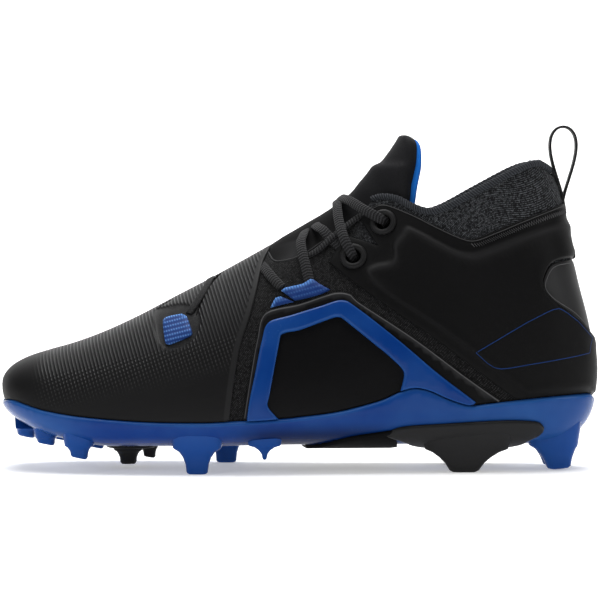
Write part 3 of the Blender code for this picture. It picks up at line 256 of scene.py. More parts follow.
def nearest(targets, axes, low, high, below=False):
    """Rows and rounds where the last, seen along one axis, meets the targets."""
    targets = np.asarray(targets, float)
    rows, rounds = np.meshgrid(np.linspace(0, ROW_COUNT, 8 * ROW_COUNT + 1),
                               np.linspace(low, high, 61), indexing="ij")
    rows, rounds = rows.ravel(), rounds.ravel()
    if below:
        facing = off_form(rows, rounds)[:, 2] < -0.45
        rows, rounds = rows[facing], rounds[facing]
    seen = on_form(rows, rounds)[:, axes]
    away = np.linalg.norm(targets[:, None] - seen[None], axis=2)
    first = away.argmin(axis=1)
    here = np.column_stack([rows[first], rounds[first]])
    step = np.tile([0.06, (high - low) / 120], (len(here), 1))
    around = np.array([(a, b) for a in (-1, 0, 1) for b in (-1, 0, 1)])
    for _ in range(16):
        tries = here[:, None] + step[:, None] * around
        tries[..., 0] = np.clip(tries[..., 0], 0, ROW_COUNT)
        tries[..., 1] = np.clip(tries[..., 1], low, high)
        reached = on_form(tries[..., 0], tries[..., 1])[..., axes]
        miss = np.linalg.norm(reached - targets[:, None], axis=2)
        best = miss.argmin(axis=1)
        step[best == 4] /= 2
        here = tries[np.arange(len(here)), best]
    return here


def side_place(along, up):
    """Row and round of a side-view point on the lateral side."""
    return nearest([side_view(along, up)], [0, 2], 0, 1)[0]


# %% The flat pattern
# Length along the shoe and length round it, in metres: what a cutter would draw
SIDE_ROUND = 0.45
ROW_RUN = run_along(on_form(ROW_SAMPLES, np.full(len(ROW_SAMPLES), SIDE_ROUND)))
ROUND_LENGTH = 1.16 * BALL_WIDTH


def flat(path):
    """Rows and rounds as a flat pattern in metres."""
    path = np.asarray(path, float)
    return np.column_stack([np.interp(path[:, 0], ROW_SAMPLES, ROW_RUN), path[:, 1] * ROUND_LENGTH])


def flat_of(u, w):
    """The same for rows and rounds that are given apart."""
    return flat(np.column_stack([u, w]))


def unflat(points):
    """A flat pattern as rows and rounds."""
    rows = np.interp(points[:, 0], ROW_RUN, ROW_SAMPLES)
    return np.column_stack([rows, points[:, 1] / ROUND_LENGTH])


def spaced(path, step=1.2 * MM):
    """A path read at even steps along the last, both ends kept."""
    path = np.asarray(path, float)
    run = run_along(on_form(path[:, 0], path[:, 1]))
    return read_at(path, run, np.linspace(0, run[-1], max(1, round(run[-1] / step)) + 1))


def across_ridge(path):
    """The same path on the other side of the ridge."""
    return np.asarray(path) * np.array([1, -1])


def across_sole(path):
    """The same path on the other side of the sole's middle."""
    return np.asarray(path) * np.array([1, -1]) + np.array([0, 2])


def as_laid(path):
    """The path where it is, for the lateral side."""
    return path


OVER_RIDGE = (("lateral", as_laid), ("medial", across_ridge))


def closed_under(half):
    """A closed path from one side's half and the same on the other side of the sole."""
    return np.vstack([half, across_sole(half)[::-1]])


# An outline's rows are along and up. It curves through them, apart from corners marked HARD
HARD = True
TRACE_STEP, CELL = 2 * MM, 2.4 * MM


def trace(outline, closed=False):
    """Side-view points along an outline, curved through its soft points, and its corners."""
    points = side_view([row[0] for row in outline], [row[1] for row in outline])
    soft = [len(row) == 2 for row in outline]
    count = len(points)
    if not closed:
        soft[0] = soft[-1] = False
    traced, corners = [], []
    for k in range(count if closed else count - 1):
        start, end = points[k], points[(k + 1) % count]
        before, after = points[k - 1], points[(k + 2) % count]
        leave = (end - before) / 2 if soft[k] else end - start
        arrive = (after - start) / 2 if soft[(k + 1) % count] else end - start
        pieces = max(1, round(np.linalg.norm(end - start) / TRACE_STEP))
        if not soft[k]:
            corners.append(len(traced))
        for t in np.arange(pieces) / pieces:
            traced.append((2 * t**3 - 3 * t**2 + 1) * start + (t**3 - 2 * t**2 + t) * leave
                          + (3 * t**2 - 2 * t**3) * end + (t**3 - t**2) * arrive)
    corners.append(len(traced))
    traced.append(points[0] if closed else points[-1])
    return np.array(traced), corners


def lay(outline, closed=False, medial=False, raised=0.0, step=1.2 * MM):
    """An outline laid on one side of the last as rows and rounds."""
    points, corners = trace(outline, closed)
    low = 1 if medial else 0
    path = nearest(points + np.array([0, raised]), [0, 2], low, low + 1)
    corners = sorted(set([0] + corners))
    parts = [spaced(path[a:b + 1], step)[:-1] for a, b in zip(corners, corners[1:])]
    return np.vstack(parts if closed else parts + [path[-1:]])


def seam_run(start, end, w):
    """Evenly spaced places along one round, both ends left out."""
    rows = np.linspace(start, end, 60)
    return spaced(np.column_stack([rows, np.full(len(rows), w)]))[1:-1]


def circle(place, radius):
    """A round path on the last about one place."""
    u, w = place
    small = 1e-3
    here = on_form(u, w)
    by_u = (on_form(u + small, w) - here) / small
    by_w = (on_form(u, w + small) - here) / small
    first = by_u / np.linalg.norm(by_u)
    second = by_w - first * by_w.dot(first)
    second /= np.linalg.norm(second)
    turn = np.arange(32) * TURN / 32
    wanted = radius * (np.cos(turn)[:, None] * first + np.sin(turn)[:, None] * second)
    steps = np.linalg.lstsq(np.column_stack([by_u, by_w]), wanted.T, rcond=None)[0].T
    return np.array([u, w]) + steps


def inside(points, loop):
    """Which flat points lie inside a closed flat loop."""
    x, y = points[:, 0], points[:, 1]
    hit = np.zeros(len(points), bool)
    for (x1, y1), (x2, y2) in zip(loop, np.roll(loop, -1, axis=0)):
        crosses = (y1 > y) != (y2 > y)
        hit ^= crosses & (x < (x2 - x1) * (y - y1) / (y2 - y1 if y2 != y1 else 1) + x1)
    return hit


def away_from_segments(points, segments):
    """Distance of flat points from many short segments."""
    best = np.full(len(points), 1.0)
    for start, end in segments:
        span = end - start
        t = np.clip(((points - start) @ span) / max(span.dot(span), 1e-18), 0, 1)
        offset = points - start - t[:, None] * span
        best = np.minimum(best, np.einsum("ij,ij->i", offset, offset))
    return best ** 0.5


def away_from(points, line, closed=True):
    """Distance of flat points from a flat line."""
    return away_from_segments(points, zip(line, np.roll(line, -1, axis=0) if closed else line[1:]))


def shrink(loop, distance):
    """A flat loop moved inwards by a distance at each of its points."""
    before, after = np.roll(loop, 1, axis=0), np.roll(loop, -1, axis=0)
    tangent = after - before
    tangent /= np.maximum(np.linalg.norm(tangent, axis=1, keepdims=True), 1e-9)
    area = np.sum(loop[:, 0] * after[:, 1] - after[:, 0] * loop[:, 1])
    return loop + np.column_stack([-tangent[:, 1], tangent[:, 0]]) * distance * np.sign(area)


def near_mask(points, others, gap):
    """Which flat points lie further than a gap from every other point."""
    tree = KDTree(len(others))
    for k, other in enumerate(others):
        tree.insert((other[0], other[1], 0), k)
    tree.balance()
    return np.array([tree.find((x, y, 0))[2] > gap for x, y in points], bool)


def mesh_places():
    """Rows of places over the whole last, a cell apart."""
    places = []
    for run in np.arange(0, ROW_RUN[-1], CELL):
        row = float(np.interp(run, ROW_RUN, ROW_SAMPLES))
        for side in (1, -1):
            line = spaced(np.column_stack([np.full(41, row), side * np.linspace(0, 1, 41)]), CELL)
            places.append(line)
            if side < 0:
                places.append(line + np.array([0, 2]))
    return np.unique(np.round(np.vstack(places), 7), axis=0)


MESH_PLACES = mesh_places()
print("places for meshes", len(MESH_PLACES))


# %% [markdown]
# ## Cut a piece and give it a wall
# Moulded skins and cloth panels are flat cuttings laid on the last. So a piece is an
# outline on the flat pattern, filled with triangles by constrained Delaunay, and then
# lifted to two levels off the last. Its edge is rounded by lowering the outer level
# close to the rim. This is done in mesh code, because no primitive follows a last.

# %% From an outline to a closed piece
SHARP_FROM = math.radians(50)


def true_rim(loop):
    """Only the parts of a loop that are an edge, not the toe's pole or the seam."""
    places = unflat(loop)
    on_seam = (np.abs(np.abs(places[:, 1]) - 1) < 1e-6) & (places[:, 1] < 1.5)
    joined = on_seam | (places[:, 0] < 1e-6)
    ends = np.roll(loop, -1, axis=0)
    edge = ~(joined & np.roll(joined, -1))
    return [np.array([a, b]) for a, b, keep in zip(loop, ends, edge) if keep]


def mesh_object(name, verts, faces, laid):
    """An object from points, faces and the flat place of each corner of the faces."""
    mesh = bpy.data.meshes.new(name)
    mesh.from_pydata([tuple(v) for v in verts], [], [tuple(int(k) for k in face) for face in faces])
    made = bpy.data.objects.new(name, mesh)
    bpy.context.scene.collection.objects.link(made)
    layer = mesh.uv_layers.new(name="Flat")
    layer.data.foreach_set("uv", np.asarray(laid, np.float32).ravel())
    mesh.shade_smooth()
    mesh.set_sharp_from_angle(angle=SHARP_FROM)
    return made


def store(piece, name, values):
    """Keeps one number for each vertex, for a material to read."""
    layer = piece.data.attributes.new(name, "FLOAT", "POINT")
    layer.data.foreach_set("value", np.asarray(values, np.float32))


def signed_volume(verts, faces):
    """Six times the volume that the faces close."""
    total = 0.0
    for face in faces:
        a = verts[face[0]]
        for k in range(1, len(face) - 1):
            total += np.dot(a, np.cross(verts[face[k]], verts[face[k + 1]]))
    return total


def faced_out(verts, faces, laid):
    """Faces and their flat corners, turned round if they enclose the piece inside out."""
    if signed_volume(verts, faces) >= 0:
        return faces, laid
    turned, start = [], 0
    for face in faces:
        turned.extend(laid[start:start + len(face)][::-1])
        start += len(face)
    return [tuple(reversed(face)) for face in faces], turned


def cut_piece(name, outer, top, under, holes=(), lines=(), rounding=0.6 * MM, square=0.35,
              marks=None):
    """A closed piece over an outline of rows and rounds, between two levels off the last."""
    loops = [flat(outer)] + [flat(hole) for hole in holes]
    rims = [segment for loop in loops for segment in true_rim(loop)]
    extra = [shrink(loop, distance * (1 if k == 0 else -1))
             for k, loop in enumerate(loops) for distance in rounding * np.array([0.12, 0.4, 1.0])]
    extra = np.vstack(extra + [np.asarray(line) for line in lines])
    grid = flat(MESH_PLACES)
    grid = grid[inside(grid, loops[0])]
    extra = extra[inside(extra, loops[0])]
    for hole in loops[1:]:
        grid, extra = grid[~inside(grid, hole)], extra[~inside(extra, hole)]
    edge_points = np.vstack(loops)
    extra = extra[near_mask(extra, edge_points, 0.05 * MM)]
    grid = grid[near_mask(grid, np.vstack([edge_points, extra]), 0.9 * MM)]
    points, edges = [], []
    for loop in loops:
        first = len(points)
        points.extend(loop)
        edges.extend((first + k, first + (k + 1) % len(loop)) for k in range(len(loop)))
    points = np.vstack([points, extra, grid])
    found = delaunay_2d_cdt([Vector(p) for p in points], edges, [], 0, 1e-7)
    points, faces = np.array([tuple(v) for v in found[0]]), np.array([tuple(f) for f in found[2]])
    middle = points[faces].mean(axis=1)
    wanted = inside(middle, loops[0])
    for hole in loops[1:]:
        wanted &= ~inside(middle, hole)
    faces = faces[wanted]
    places = unflat(points)
    u, w = places[:, 0], places[:, 1]
    depth = away_from_segments(points, rims)
    low, high = (level(u, w) if callable(level) else np.full(len(u), level)
                 for level in (under, top))
    share = 1 - np.clip(depth / rounding, 0, 1)
    high = low + (high - low) * (square + (1 - square) * np.sqrt(1 - share * share))
    # Places that meet at the toe's pole or along the seam become one
    base = on_form(u, w)
    tree = KDTree(len(base))
    for k, point in enumerate(base):
        tree.insert(point, k)
    tree.balance()
    same = np.array([min(k for _, k, _ in tree.find_range(point, 1e-5)) for point in base])
    order, index = np.unique(same, return_inverse=True)
    count = len(order)
    skin, corners = [], []
    for face in faces:
        a, b, c = index[face]
        if len({a, b, c}) == 3:
            skin.append((a, b, c))
            corners.append(face)
    used = {}
    for (a, b, c), face in zip(skin, corners):
        for edge, ends in (((a, b), face[[0, 1]]), ((b, c), face[[1, 2]]), ((c, a), face[[2, 0]])):
            used[edge] = ends
    rim = [(edge, ends) for edge, ends in used.items() if (edge[1], edge[0]) not in used]
    closed = skin + [(a + count, c + count, b + count) for a, b, c in skin]
    closed += [(b, a, a + count, b + count) for (a, b), _ in rim]
    laid = [points[k] for face in corners for k in face]
    laid += [points[k] for face in corners for k in face[[0, 2, 1]]]
    laid += [points[k] for _, (a, b) in rim for k in (b, a, a, b)]
    verts = np.vstack([on_form(u[order], w[order], level[order]) for level in (high, low)])
    made = mesh_object(name, verts, *faced_out(verts, closed, laid))
    store(made, "depth", np.concatenate([depth[order], depth[order]]))
    store(made, "inner", np.repeat([0, 1], count))
    for mark, reader in (marks or {}).items():
        values = reader(u[order], w[order])
        store(made, mark, np.concatenate([values, values]))
    print(name, len(made.data.polygons), "faces")
    return made


# %% [markdown]
# ## Shader maths as Python
# A material is a small tree of nodes. Writing it as arithmetic keeps it readable, so
# one class wraps a node's output: adding or multiplying two of them adds a Math node.

# %% The wire and the paint pot
class Wire:
    """One output of a node. Arithmetic on it adds Math nodes."""

    def __init__(self, paint, socket):
        self.paint, self.socket = paint, socket

    def math(self, operation, *values):
        return self.paint.node("ShaderNodeMath", {"operation": operation}, self, *values).out()

    def __add__(self, other):
        return self.math("ADD", other)

    def __sub__(self, other):
        return self.math("SUBTRACT", other)

    def __mul__(self, other):
        return self.math("MULTIPLY", other)

    def __rsub__(self, other):
        return self.paint.node("ShaderNodeMath", {"operation": "SUBTRACT"}, other, self).out()

    __radd__, __rmul__ = __add__, __mul__

    def sine(self):
        return self.math("SINE")

    def wave(self, period):
        """Rises from 0 to 1 and falls again once in each period."""
        return (self * (TURN / period)).sine() * 0.5 + 0.5

    def size(self):
        return self.math("ABSOLUTE")

    def clamped(self):
        return self.paint.node("ShaderNodeClamp", {}, self, 0.0, 1.0).out()

    def between(self, low, high):
        """0 below low, 1 above high and smooth between them."""
        settings = {"interpolation_type": "SMOOTHSTEP"}
        return self.paint.node("ShaderNodeMapRange", settings, Value=self, From_Min=low,
                               From_Max=high).out()


class Paint:
    """A Principled material that is built up node by node."""

    def __init__(self, name, colour, roughness, shine=0.12, **constants):
        self.material = bpy.data.materials.new(name)
        self.material.use_nodes = True
        self.tree = self.material.node_tree
        self.shader = self.tree.nodes["Principled BSDF"]
        self.shader.inputs["Base Color"].default_value = (*colour, 1)
        self.shader.inputs["Roughness"].default_value = roughness
        self.shader.inputs["Specular IOR Level"].default_value = shine
        for socket, value in constants.items():
            self.shader.inputs[socket.replace("_", " ")].default_value = value
        self.made = None

    def node(self, kind, settings=None, *values, **named):
        """Adds a node, sets it up and gives its inputs their values or links."""
        made = self.tree.nodes.new(kind)
        for setting, value in (settings or {}).items():
            setattr(made, setting, value)
        pairs = list(zip(made.inputs, values))
        pairs += [(made.inputs[name.replace("_", " ")], value) for name, value in named.items()]
        for socket, value in pairs:
            if isinstance(value, Wire):
                self.tree.links.new(value.socket, socket)
            else:
                socket.default_value = value
        self.made = made
        return self

    def out(self, name=None):
        """An output of the node that was just made."""
        return Wire(self, self.made.outputs[name] if name else self.made.outputs[0])

    def place(self):
        """The point on the object, in metres."""
        return self.node("ShaderNodeTexCoord").out("Object")

    def split(self, vector):
        """The three numbers of a vector."""
        self.node("ShaderNodeSeparateXYZ", {}, vector)
        parts = self.made.outputs
        return Wire(self, parts[0]), Wire(self, parts[1]), Wire(self, parts[2])

    def pattern(self):
        """Along and round on the flat pattern, in millimetres."""
        u, v, _ = self.split(self.node("ShaderNodeUVMap", {"uv_map": "Flat"}).out())
        return u * 1000, v * 1000

    def stored(self, name):
        """A number kept on the vertices."""
        return self.node("ShaderNodeAttribute", {"attribute_name": name}).out("Fac")

    def noise(self, vector, scale, detail=2.0, roughness=0.5):
        """Soft cloudy noise from 0 to 1."""
        return self.node("ShaderNodeTexNoise", {}, Vector=vector, Scale=scale, Detail=detail,
                         Roughness=roughness).out("Fac")

    def specks(self, vector, scale):
        """Distance to the nearest of many scattered points."""
        return self.node("ShaderNodeTexVoronoi", {}, Vector=vector, Scale=scale).out("Distance")

    def mixed(self, share, first, second):
        """A colour between two colours."""
        self.node("ShaderNodeMix", {"data_type": "RGBA"}, Factor=share)
        a, b = [s for s in self.made.inputs if s.type == "RGBA"]
        for socket, value in ((a, first), (b, second)):
            if isinstance(value, Wire):
                self.tree.links.new(value.socket, socket)
            else:
                socket.default_value = (*value, 1)
        return Wire(self, [s for s in self.made.outputs if s.type == "RGBA"][0])

    def set(self, socket, wire):
        """Feeds a socket of the shader."""
        self.tree.links.new(wire.socket, self.shader.inputs[socket])

    def bump(self, height, distance):
        """Feeds the normal from a height, where 1 stands for a distance in millimetres."""
        bumped = self.node("ShaderNodeBump", {}, Distance=distance * MM, Height=height)
        self.set("Normal", bumped.out("Normal"))


def dress(piece, paint, slot, *replaced):
    """Gives a piece its finish, its body and the solids it stands for."""
    piece.data.materials.clear()
    piece.data.materials.append(paint.material)
    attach(piece, "root")
    if replaced:
        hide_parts(*replaced)
    return piece


# %% [markdown]
# ## Levels
# Each layer has a level off the last. The upper is the lowest, skins and panels lie on
# it, the cage lies on its panel, and the plate cups the lot from below.

# %% Levels and edges
ON_UPPER = FIT_GAP
SKIN_TOP = ON_UPPER + SKIN_THICKNESS
PANEL_TOP = ON_UPPER + PANEL_THICKNESS
QUARTER_BORDER = ON_UPPER + FLANGE_THICKNESS
QUARTER_BODY = QUARTER_BORDER + BODY_THICKNESS - FLANGE_THICKNESS
INSIDE_UPPER = -(UPPER_WALL + FIT_GAP)
PLATE_OUTSIDE = FIT_GAP + PLATE_FLOOR
CORE_INSIDE = PLATE_OUTSIDE + FIT_GAP / 3
CORE_OUTSIDE = CORE_INSIDE + CORE_THICKNESS
EDGE_CLEARANCE = 0.0003

COLLAR_RIM = (
    (0.609, 0.947, HARD), (0.615, 0.971), (0.632, 0.983), (0.658, 0.968), (0.684, 0.926),
    (0.713, 0.894), (0.745, 0.901), (0.794, 0.936), (0.860, 0.987), (0.888, 1.002),
    (0.901, 0.998, HARD),
)
THROAT_EDGE = (
    (0.447, 0.751, HARD), (0.460, 0.715), (0.500, 0.737), (0.541, 0.800), (0.574, 0.856),
    (0.609, 0.947, HARD),
)
PLATE_EDGE_LATERAL = (
    (0.008, 0.159), (0.028, 0.162), (0.079, 0.128), (0.144, 0.105), (0.240, 0.090), (0.340, 0.088),
    (0.402, 0.094), (0.466, 0.102), (0.499, 0.109), (0.564, 0.129), (0.629, 0.168), (0.662, 0.200),
    (0.686, 0.212), (0.711, 0.199), (0.744, 0.163), (0.777, 0.139), (0.809, 0.143), (0.890, 0.159),
    (0.956, 0.168), (0.976, 0.168),
)
PLATE_EDGE_MEDIAL = (
    (0.008, 0.159), (0.028, 0.162), (0.079, 0.128), (0.144, 0.105), (0.240, 0.090), (0.340, 0.088),
    (0.466, 0.102), (0.564, 0.124), (0.662, 0.138), (0.809, 0.143), (0.890, 0.159), (0.976, 0.168),
)
LATERAL_EDGE = lay(PLATE_EDGE_LATERAL)
MEDIAL_EDGE = lay(PLATE_EDGE_MEDIAL, medial=True)


def above_plate(edge, medial=False):
    """A line just above the plate's top edge."""
    return edge + np.array([0, (1 if medial else -1) * EDGE_CLEARANCE / ROUND_LENGTH])


def sole_round(u, share):
    """Round at which the underside reaches a share of the half-width from its middle."""
    half = smooth_rows(LAST, u)[..., 5] * BALL_WIDTH
    points = on_form(u[:, None], np.linspace(0, 1, 61)[None, :])
    girth = np.linalg.norm(np.diff(points, axis=1), axis=2).sum(axis=1)
    return 1 - share * half / girth


# along, up of the eyelets' centres
EYELETS = {"top": (0.638, 0.862), "low": (0.588, 0.731)}
EYELET_HOLE = 0.0039
EYELET_PLACES = {name: side_place(*at) for name, at in EYELETS.items()}
print("plate edge", len(LATERAL_EDGE), "points; eyelets", EYELET_PLACES)

# %% [markdown]
# ## The knitted upper
# The upper is one sock-like knit, thicker and more open at the collar, where two grey
# yarns make a mottled tweed. The yarn is far too fine to model, so its colour and bump
# come from noise at the yarn's own scale. The upper itself is a hollow piece with a
# real wall, open at the collar, the throat and underneath.

# %% Knit finishes
def knit(name, dark, light, grain, speck, relief):
    """A mottled knit: dark yarn with lighter flecks."""
    paint = Paint(name, dark, 0.9, shine=0.15, Sheen_Weight=0.05, Sheen_Roughness=0.5)
    place = paint.place()
    yarn = paint.specks(place, grain)
    fleck = paint.noise(place, speck, 3.0, 0.65)
    share = (yarn.between(0.75, 0.15) * fleck.between(0.40, 0.62)).clamped()
    paint.set("Base Color", paint.mixed(share, dark, light))
    paint.bump(yarn * -0.6 + fleck * 0.8, relief)
    return paint


# %% The upper
# Rows where the opening underneath starts and ends, and the rounds of the toe's pole
TOE_OPEN, HEEL_OPEN = 4.0, 17.6
TOE_POLE = np.array([[0, w] for w in np.linspace(-0.9, 0.9, 13)])


def upper_outline():
    """The upper's outline: seam under the toe, opening, heel seam, collar and throat."""
    rim = lay(COLLAR_RIM, raised=-COLLAR_ROLL * 0.8)
    throat = lay(THROAT_EDGE)[:-1]
    throat = throat[throat[:, 0] < rim[0][0] - 0.1]
    rows = np.linspace(TOE_OPEN + 0.6, HEEL_OPEN - 0.5, 120)
    opening = np.column_stack([rows, sole_round(rows, 0.76)])
    back = rim[-1][0]
    half = np.vstack([[[0, 1]], seam_run(0, TOE_OPEN, 1), [[TOE_OPEN, 1]], opening, [[HEEL_OPEN, 1]],
                      seam_run(HEEL_OPEN, back, 1), [[back, 1]], rim[::-1], throat[::-1]])
    tip = np.array([[throat[0][0] - 0.12, 0]])
    return np.vstack([half, tip, across_ridge(half)[::-1], TOE_POLE])


upper_holes = [circle(turned(place), EYELET_HOLE)
               for _, turned in OVER_RIDGE for place in EYELET_PLACES.values()]
upper = cut_piece("knit_upper", upper_outline(), 0.0, -UPPER_WALL, upper_holes)


WALE, COURSE, LEAN = 1.05, 0.95, 0.3


def collar_knit():
    """The collar's fine tweed over the darker midfoot knit, and the smooth lining."""
    paint = Paint("collar_knit", (0.006, 0.006, 0.006), 0.9, shine=0.15)
    place = paint.place()
    x, _, z = paint.split(place)
    collar = (z + (x - 0.065).size() * 0.25).between(0.104, 0.112) * x.between(0.020, 0.045)
    along, around = paint.pattern()
    yarn = paint.specks(place, 1250)
    fleck = paint.noise(place, 900, 3.0, 0.7)
    wales = ((along + around * LEAN) * (TURN / WALE)).sine()
    courses = ((around - along * LEAN) * (TURN / COURSE)).sine()
    loops = (wales * courses * 0.5 + 0.5).between(0.50, 0.98)
    tweed = yarn.between(0.6, 0.1) * fleck.between(0.45, 0.7) * 0.4
    share = (loops * fleck.between(0.38, 0.60) + tweed).clamped()
    light = paint.mixed(collar, (0.045, 0.045, 0.046), (0.140, 0.148, 0.160))
    dark = paint.mixed(collar, (0.0018, 0.0018, 0.0020), (0.0035, 0.0038, 0.0045))
    outside = paint.mixed(share, dark, light)
    paint.set("Base Color", paint.mixed(paint.stored("inner"), outside, (0.006, 0.006, 0.0065)))
    paint.bump(yarn * -0.6 + fleck * 0.9, 0.4)
    return paint


dress(upper, collar_knit(), "upper", "upper")

# %% [markdown]
# ## The ribbed skin
# A thin soft skin is moulded over the toe and forefoot. Its ribs run down and back from
# the ridge, about two millimetres apart. Lower down a second set crosses them and cuts
# them into dots, and both fade out above the plate and at the toe. The ribs are straight
# in a side view, so the material reads the place on the object. A plain band along the
# free edge and the floor of the recess are marked on the mesh, for the same material.

# %% Its outline, slots and recess
VAMP_EDGE = (
    (0.452, 0.770, HARD), (0.439, 0.705), (0.429, 0.597), (0.417, 0.490), (0.403, 0.388),
    (0.393, 0.254), (0.385, 0.100, HARD),
)
RECESS = (
    (0.258, 0.508), (0.280, 0.530), (0.314, 0.545), (0.337, 0.520), (0.341, 0.472), (0.332, 0.410),
    (0.312, 0.372), (0.283, 0.360), (0.267, 0.391), (0.260, 0.451),
)
# rows and rounds of the slots' middle lines, and half-widths in millimetres
FRONT_SLOT = ((8.55, 0.075, 0.2), (8.72, 0.060, 0.8), (8.92, 0.055, 0.3))
BACK_SLOT = ((10.27, 0.022, 0.3), (10.08, 0.055, 1.5), (9.93, 0.105, 0.6), (9.76, 0.170, 0.4),
             (9.60, 0.240, 0.3))


def slot_loop(middle):
    """A closed path round a slot, from its middle line and half-widths."""
    table = np.array(middle)
    table = smooth_rows(table, np.linspace(0, len(table) - 1, 26))
    line = flat(table[:, :2])
    tangent = unit(np.gradient(line, axis=0))
    side = np.column_stack([-tangent[:, 1], tangent[:, 0]]) * np.maximum(table[:, 2:], 0.12) * MM
    return unflat(np.vstack([line + side, (line - side)[::-1]]))


recess_flat = flat(lay(RECESS, closed=True))
recesses = (recess_flat, across_ridge(recess_flat))
RECESS_DEPTH, RECESS_SLOPE = 0.6 * MM, 1.6 * MM


def sunk(u, w):
    """1 on the floor of the recess on each side, 0 outside it."""
    points = flat_of(u, w)
    depths = [np.where(inside(points, loop), away_from(points, loop), 0) for loop in recesses]
    return eased(np.max(depths, axis=0) / RECESS_SLOPE)


def skin_top(u, w):
    """The skin's level: lower in the recess on each side."""
    return SKIN_TOP - RECESS_DEPTH * sunk(u, w)


VAMP_FREE = flat(lay(VAMP_EDGE))
BAND_WIDTH, BAND_FADE = 3.3 * MM, 0.6 * MM


def free_band(u, w):
    """1 on the plain band along the skin's free edge."""
    away = away_from(flat_of(u, np.abs(w)), VAMP_FREE, closed=False)
    return np.clip((BAND_WIDTH - away) / BAND_FADE, 0, 1)


def vamp_outline():
    """The skin's outline: free edge to the midfoot, and the plate's line."""
    free = lay(VAMP_EDGE)
    edge = above_plate(LATERAL_EDGE)
    edge = edge[edge[:, 0] < free[-1][0] - 0.05]
    toe_low = edge[0][0]
    half = np.vstack([[[0, 1]], seam_run(0, toe_low, 1), [[toe_low, 1]], edge[1:], free[:0:-1]])
    return np.vstack([half, [[free[0][0], 0]], across_ridge(half)[::-1], TOE_POLE])


slots = [slot_loop(FRONT_SLOT), slot_loop(BACK_SLOT)]
slots += [across_ridge(slot)[::-1] for slot in slots]
guide_lines = [shrink(loop, d * MM) for loop in recesses for d in (0, 0.5, 1.0, 1.6)]
guide_lines += [VAMP_FREE + np.array([[-d * MM, 0]]) for d in (2.7, 3.4)]
vamp_skin = cut_piece("ribbed_skin", vamp_outline(), skin_top, ON_UPPER, slots, guide_lines,
                      0.5 * MM, marks={"sunk": sunk, "free": free_band})


# %% The ribs
RIB_PITCH, RIB_LEAN = 1.88 * MM, 0.36
CROSS_PITCH, CROSS_LEAN = 2.0 * MM, 0.42
BORDER_HEIGHT, BORDER_RISE = 0.0755, 0.233


def ribbed():
    """Ribs that run down and back, crossed lower down, on a soft satin skin, with painted highlights
    on the crests and painted shade in the troughs.
    """
    paint = Paint("ribbed_skin", (0.012, 0.012, 0.0125), 0.46, shine=0.12)
    x, _, z = paint.split(paint.place())
    line = (x + z * RIB_LEAN).wave(RIB_PITCH).math("POWER", 2.8)
    dots = (z - x * CROSS_LEAN).wave(CROSS_PITCH).math("POWER", 0.9)
    above = z - (x * BORDER_RISE + BORDER_HEIGHT)
    crossed = 1 - above.between(-0.002, 0.003)
    fading = above.between(-0.021, -0.004)
    toe = x.between(-0.134, -0.112)
    band = 1 - paint.stored("free")
    pattern = line * (1 - crossed) + line * dots * crossed
    present = fading * toe * band * (1 - paint.stored("sunk"))
    fine = paint.noise(paint.place(), 2500, 2.0)
    # Rib crests are painted pale as a painted highlight, brighter higher up where more light falls.
    # Their troughs are painted dark as painted shade.
    lit = above.between(-0.020, 0.030)
    shade = (pattern + fine * 0.1 - 0.03).clamped()
    crest = paint.mixed(lit, (0.024, 0.024, 0.0245), (0.052, 0.052, 0.054))
    colour = paint.mixed(shade, (0.0007, 0.0007, 0.0010), crest)
    smooth = paint.mixed(fine, (0.0032, 0.0032, 0.0035), (0.0056, 0.0056, 0.0059))
    colour = paint.mixed(present, smooth, colour)
    weave = paint.specks(paint.place(), 1300).between(0.2, 0.7)
    floor = paint.mixed(weave, (0.013, 0.013, 0.0135), (0.004, 0.004, 0.0045))
    colour = paint.mixed(paint.stored("sunk") * 0.9, colour, floor)
    paint.set("Base Color", paint.mixed(paint.stored("free"), colour, (0.011, 0.011, 0.0115)))
    paint.set("Roughness", 0.55 - pattern * present * 0.15)
    paint.bump(pattern * present + fine * 0.05, 0.7)
    return paint


dress(vamp_skin, ribbed(), "vamp_skin", "vamp_skin")

# %% [markdown]
# ## The midfoot panel and the cage
# A smooth coated panel is fused to the knit at the midfoot, with a fine raised bead
# round it, painted pale as a painted highlight. On the outer side a glossy moulded cage
# stands on it like a bridge and runs down into the plate. The cage is the shiniest piece,
# so its edges are rounded in the mesh, to catch the light as a moulding does, and are
# painted paler as a painted highlight.

# %% Panel and cage outlines
MIDFOOT_PANEL = (
    (0.407, 0.102, HARD), (0.412, 0.178), (0.420, 0.293), (0.429, 0.407), (0.443, 0.511),
    (0.500, 0.550), (0.557, 0.594), (0.585, 0.586), (0.593, 0.563), (0.687, 0.406), (0.771, 0.249),
    (0.828, 0.156, HARD),
)
CAGE = (
    (0.413, 0.098, HARD), (0.418, 0.179), (0.428, 0.291), (0.438, 0.403), (0.449, 0.471),
    (0.484, 0.499), (0.532, 0.535), (0.568, 0.560), (0.594, 0.529), (0.662, 0.398), (0.727, 0.260),
    (0.787, 0.152, HARD), (0.777, 0.142), (0.744, 0.166), (0.711, 0.202), (0.686, 0.215),
    (0.663, 0.205, HARD), (0.668, 0.249), (0.668, 0.283), (0.646, 0.339), (0.613, 0.406),
    (0.566, 0.495), (0.556, 0.495), (0.500, 0.446), (0.472, 0.431), (0.466, 0.396), (0.450, 0.197),
    (0.447, 0.152), (0.464, 0.105, HARD),
)
PANEL_FREE = lay(MIDFOOT_PANEL)
BEAD_INSET, BEAD_WIDTH, BEAD_HEIGHT = 0.8 * MM, 0.24 * MM, 0.35 * MM


def bead(u, w):
    """1 along a fine line just inside the panel's free edge."""
    away = away_from(flat_of(u, 1 - np.abs(np.abs(w) - 1)), flat(PANEL_FREE), closed=False)
    return np.exp(-((away - BEAD_INSET) / BEAD_WIDTH) ** 2)


def panel_level(u, w):
    """The panel's level, with a raised bead."""
    return PANEL_TOP + BEAD_HEIGHT * bead(u, w)


